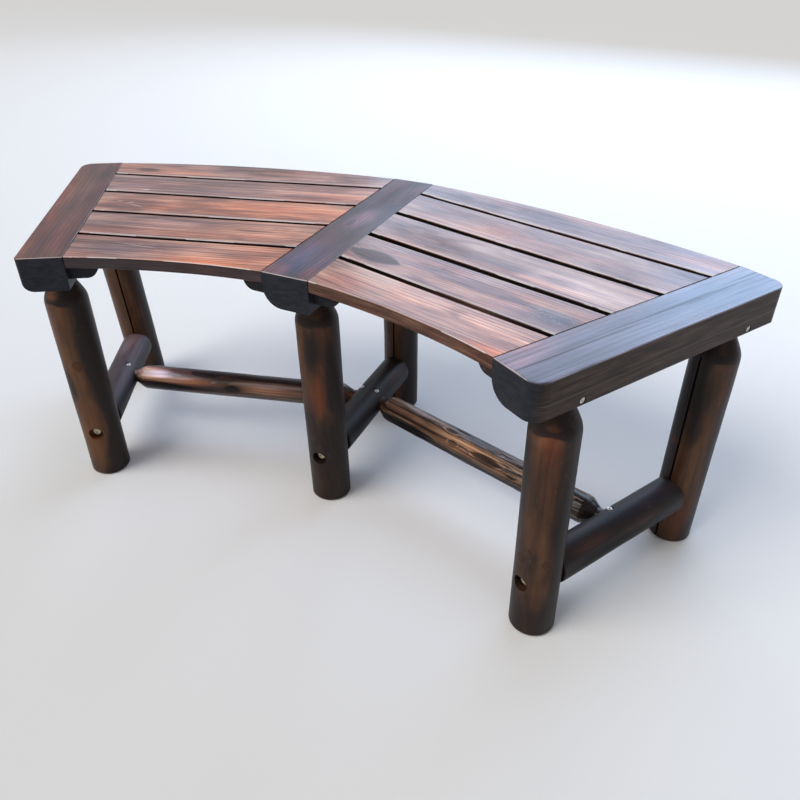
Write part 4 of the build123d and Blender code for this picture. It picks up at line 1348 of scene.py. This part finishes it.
# screws and bolts
fasteners = {
    "screw": {
        "Head Radius": 0.0043, "Head Height": 0.0026, "Shank Radius": 0.0020, "Dome": 0.0009,
        "Recess": 0.0026, "Slot": 0.0007,
    },
    "bolt": {
        "Head Radius": 0.0060, "Head Height": 0.0040, "Shank Radius": 0.0040, "Dome": 0.0016,
        "Recess": 0.0030, "Slot": 0.0011,
    },
    "lengths": {
        "leg_screws": 0.052, "stretcher_screws": 0.034, "cap_screws": 0.038,
        "slat_screws": 0.030, "cleat_screws": 0.046, "leg_bolts": 0.099,
    },
    "proud": {"stretcher_screws": 0.0010},
}


def makeScrewTree():
    graph, given, size = startTree("crossHeadScrews", {**fasteners["screw"], "Length": 0.04, "Seed": 1})
    shankRadius = size["Shank Radius"]
    headHeight = size["Head Height"]
    head = {"Vertices": 32, "Side Segments": 3, "Fill Segments": 5, "Radius": size["Head Radius"]}
    head["Depth"] = headHeight
    head = graph.out("GeometryNodeMeshCylinder", {"fill_type": "TRIANGLE_FAN"}, head)
    x, y, z = graph.split(graph.out("GeometryNodeInputPosition"))
    spread = (x * x + y * y) / (size["Head Radius"] * size["Head Radius"])
    onTop = graph.maths("GREATER_THAN", z, headHeight * 0.1)
    shape = graph.moved(head, graph.vector(x, y, z - headHeight / 2 - spread * size["Dome"] * onTop))
    for wide, deep in ((size["Recess"] * 2, size["Slot"] * 2), (size["Slot"] * 2, size["Recess"] * 2)):
        bar = graph.out("GeometryNodeMeshCube", None, {"Size": graph.vector(wide, deep, headHeight)})
        shape = graph.out("GeometryNodeMeshBoolean", {"operation": "DIFFERENCE"}, {0: shape, 1: bar})
    cone = {"Vertices": 16, "Radius Top": shankRadius, "Radius Bottom": 0.0004, "Depth": shankRadius * 2}
    stem = {"Vertices": 16, "Radius": shankRadius, "Depth": size["Length"] - headHeight - shankRadius * 2}
    whole = graph.node("GeometryNodeJoinGeometry", None, {0: shape})
    for kind, values, height in (
        ("GeometryNodeMeshCone", cone, size["Length"] * -1),
        ("GeometryNodeMeshCylinder", stem, (headHeight + size["Length"] - shankRadius * 2) * -0.5),
    ):
        part = graph.out(kind, None, values)
        placed = {"Geometry": part, "Translation": graph.vector(0.0, 0.0, height)}
        graph.join(graph.out("GeometryNodeTransform", None, placed), whole.inputs[0])
    facing = graph.out("GeometryNodeInputNamedAttribute", {"data_type": "FLOAT_VECTOR"}, {"Name": "facing"})
    turned = graph.out("FunctionNodeAlignRotationToVector", {"axis": "Z"}, {"Vector": facing})
    chance = {"Min": 0.0, "Max": 1.5, "Seed": size["Seed"]}
    chance = graph.node("FunctionNodeRandomValue", {"data_type": "FLOAT"}, chance).outputs[1]
    spin = graph.out("FunctionNodeAxisAngleToRotation", None, {"Axis": (0, 0, 1), "Angle": chance})
    both = graph.out("FunctionNodeRotateRotation", {"rotation_space": "LOCAL"}, {0: turned, 1: spin})
    points = graph.out("GeometryNodeMeshToPoints", None, {"Mesh": given.outputs["Geometry"]})
    values = {"Points": points, "Instance": whole.outputs[0], "Rotation": both}
    return endTree(graph, given, graph.out("GeometryNodeInstanceOnPoints", None, values))


screwTree = makeScrewTree()
screwSteel = plainMetal("screwSteel", {
    "seed": 3.0, "rough": 0.40, "metallic": 0.45,
    "colours": shades((0.3, 0.55, 0.8), (600, 590, 570), (860, 850, 830), (950, 940, 920)),
})
boltZinc = plainMetal("boltZinc", {
    "seed": 9.0, "rough": 0.42, "metallic": 0.55,
    "colours": shades((0.3, 0.55, 0.8), (420, 360, 220), (720, 660, 460), (880, 840, 660)),
})
for turn, (node, length) in enumerate(fasteners["lengths"].items()):
    places = fastenerPlaces(node)
    source = bpy.data.meshes.new(node + "Places")
    proud = fasteners["proud"].get(node, 0.0)
    source.from_pydata([tuple(head + axis * proud) for head, axis in places], [], [])
    writeAttribute(source, "facing", np.array([tuple(axis) for _, axis in places]))
    kind, slot, metal = "screw", "screw_steel", screwSteel
    if node == "leg_bolts":
        kind, slot, metal = "bolt", "bolt_zinc", boltZinc
    values = {**fasteners[kind], "Length": length, "Seed": 11 + turn, "Material": metal}
    settle(camel(node), growMesh(node, screwTree, values, source), [node], metal, 30.0)
print("fasteners done")

# floor, light and camera
reach = 30
corners = [(-reach, -reach, 0), (reach, -reach, 0), (reach, reach, 0), (-reach, reach, 0)]
floorMesh = bpy.data.meshes.new("floor")
floorMesh.from_pydata(corners, [], [(0, 1, 2, 3)])
floorMaterial = bpy.data.materials.new("palePlaster")
floorMaterial.use_nodes = True
floorSkin = floorMaterial.node_tree.nodes["Principled BSDF"]
floorSkin.inputs["Base Color"].default_value = rgb(0.88, 0.88, 0.89)
floorSkin.inputs["Roughness"].default_value = 0.9
floorMesh.materials.append(floorMaterial)
floor = linked("floor", floorMesh)

lights = {
    "skyPanel": {
        "kind": "AREA", "place": (0.5, 3.5, 2.15), "aim": (0.3, 0.1, 0.43), "size": (4.8, 1.8),
        "power": 85, "colour": (0.63, 0.78, 1.04),
    },
    "clearSky": {
        "kind": "AREA", "place": (0.95, 3.3, 2.15), "aim": (0.5, 0.0, 0.43), "size": (1.5, 1.3),
        "power": 12.5, "colour": (0.28, 0.57, 1.0),
    },
    "sideSky": {
        "kind": "AREA", "place": (-3.2, 3.3, 2.15), "aim": (-0.3, 0.1, 0.43), "size": (2.8, 1.8),
        "power": 7, "colour": (0.80, 0.88, 1.0),
    },
    "keySun": {
        "kind": "SUN", "place": (-1.3, -1.6, 2.3), "aim": (0, 0, 0), "spread": 38,
        "power": 1.75, "colour": (1.0, 0.96, 0.9),
    },
}
for name, light in lights.items():
    lamp = bpy.data.lights.new(name, light["kind"])
    if light["kind"] == "AREA":
        lamp.shape = "RECTANGLE"
        lamp.size, lamp.size_y = light["size"]
    else:
        lamp.angle = math.radians(light["spread"])
    lamp.energy = light["power"]
    lamp.color = light["colour"]
    holder = linked(name, lamp)
    holder.location = light["place"]
    towards = Vector(light["aim"]) - Vector(light["place"])
    holder.rotation_euler = towards.to_track_quat("-Z", "Y").to_euler()
    holder.visible_camera = False
world = bpy.data.worlds.new("softRoom")
world.use_nodes = True
world.node_tree.nodes["Background"].inputs[0].default_value = rgb(0.96, 0.98, 1.0)
world.node_tree.nodes["Background"].inputs[1].default_value = 0.36
scene.world = world
scene.view_settings.view_transform = "Standard"

view = {
    "place": (0.508872, -0.906087, 0.849194),
    "right": (0.908045, 0.418873, 0.000849),
    "up": (-0.238182, 0.514668, 0.823642),
    "back": (0.344564, -0.748106, 0.567109),
    "lens": 33.435,
}
camera = bpy.data.cameras.new("camera")
camera.sensor_width = 36
camera.lens = view["lens"]
viewer = linked("camera", camera)
viewer.matrix_world = axesAt(view["place"], view["right"], view["up"], view["back"])
scene.camera = viewer
print("light and camera done")
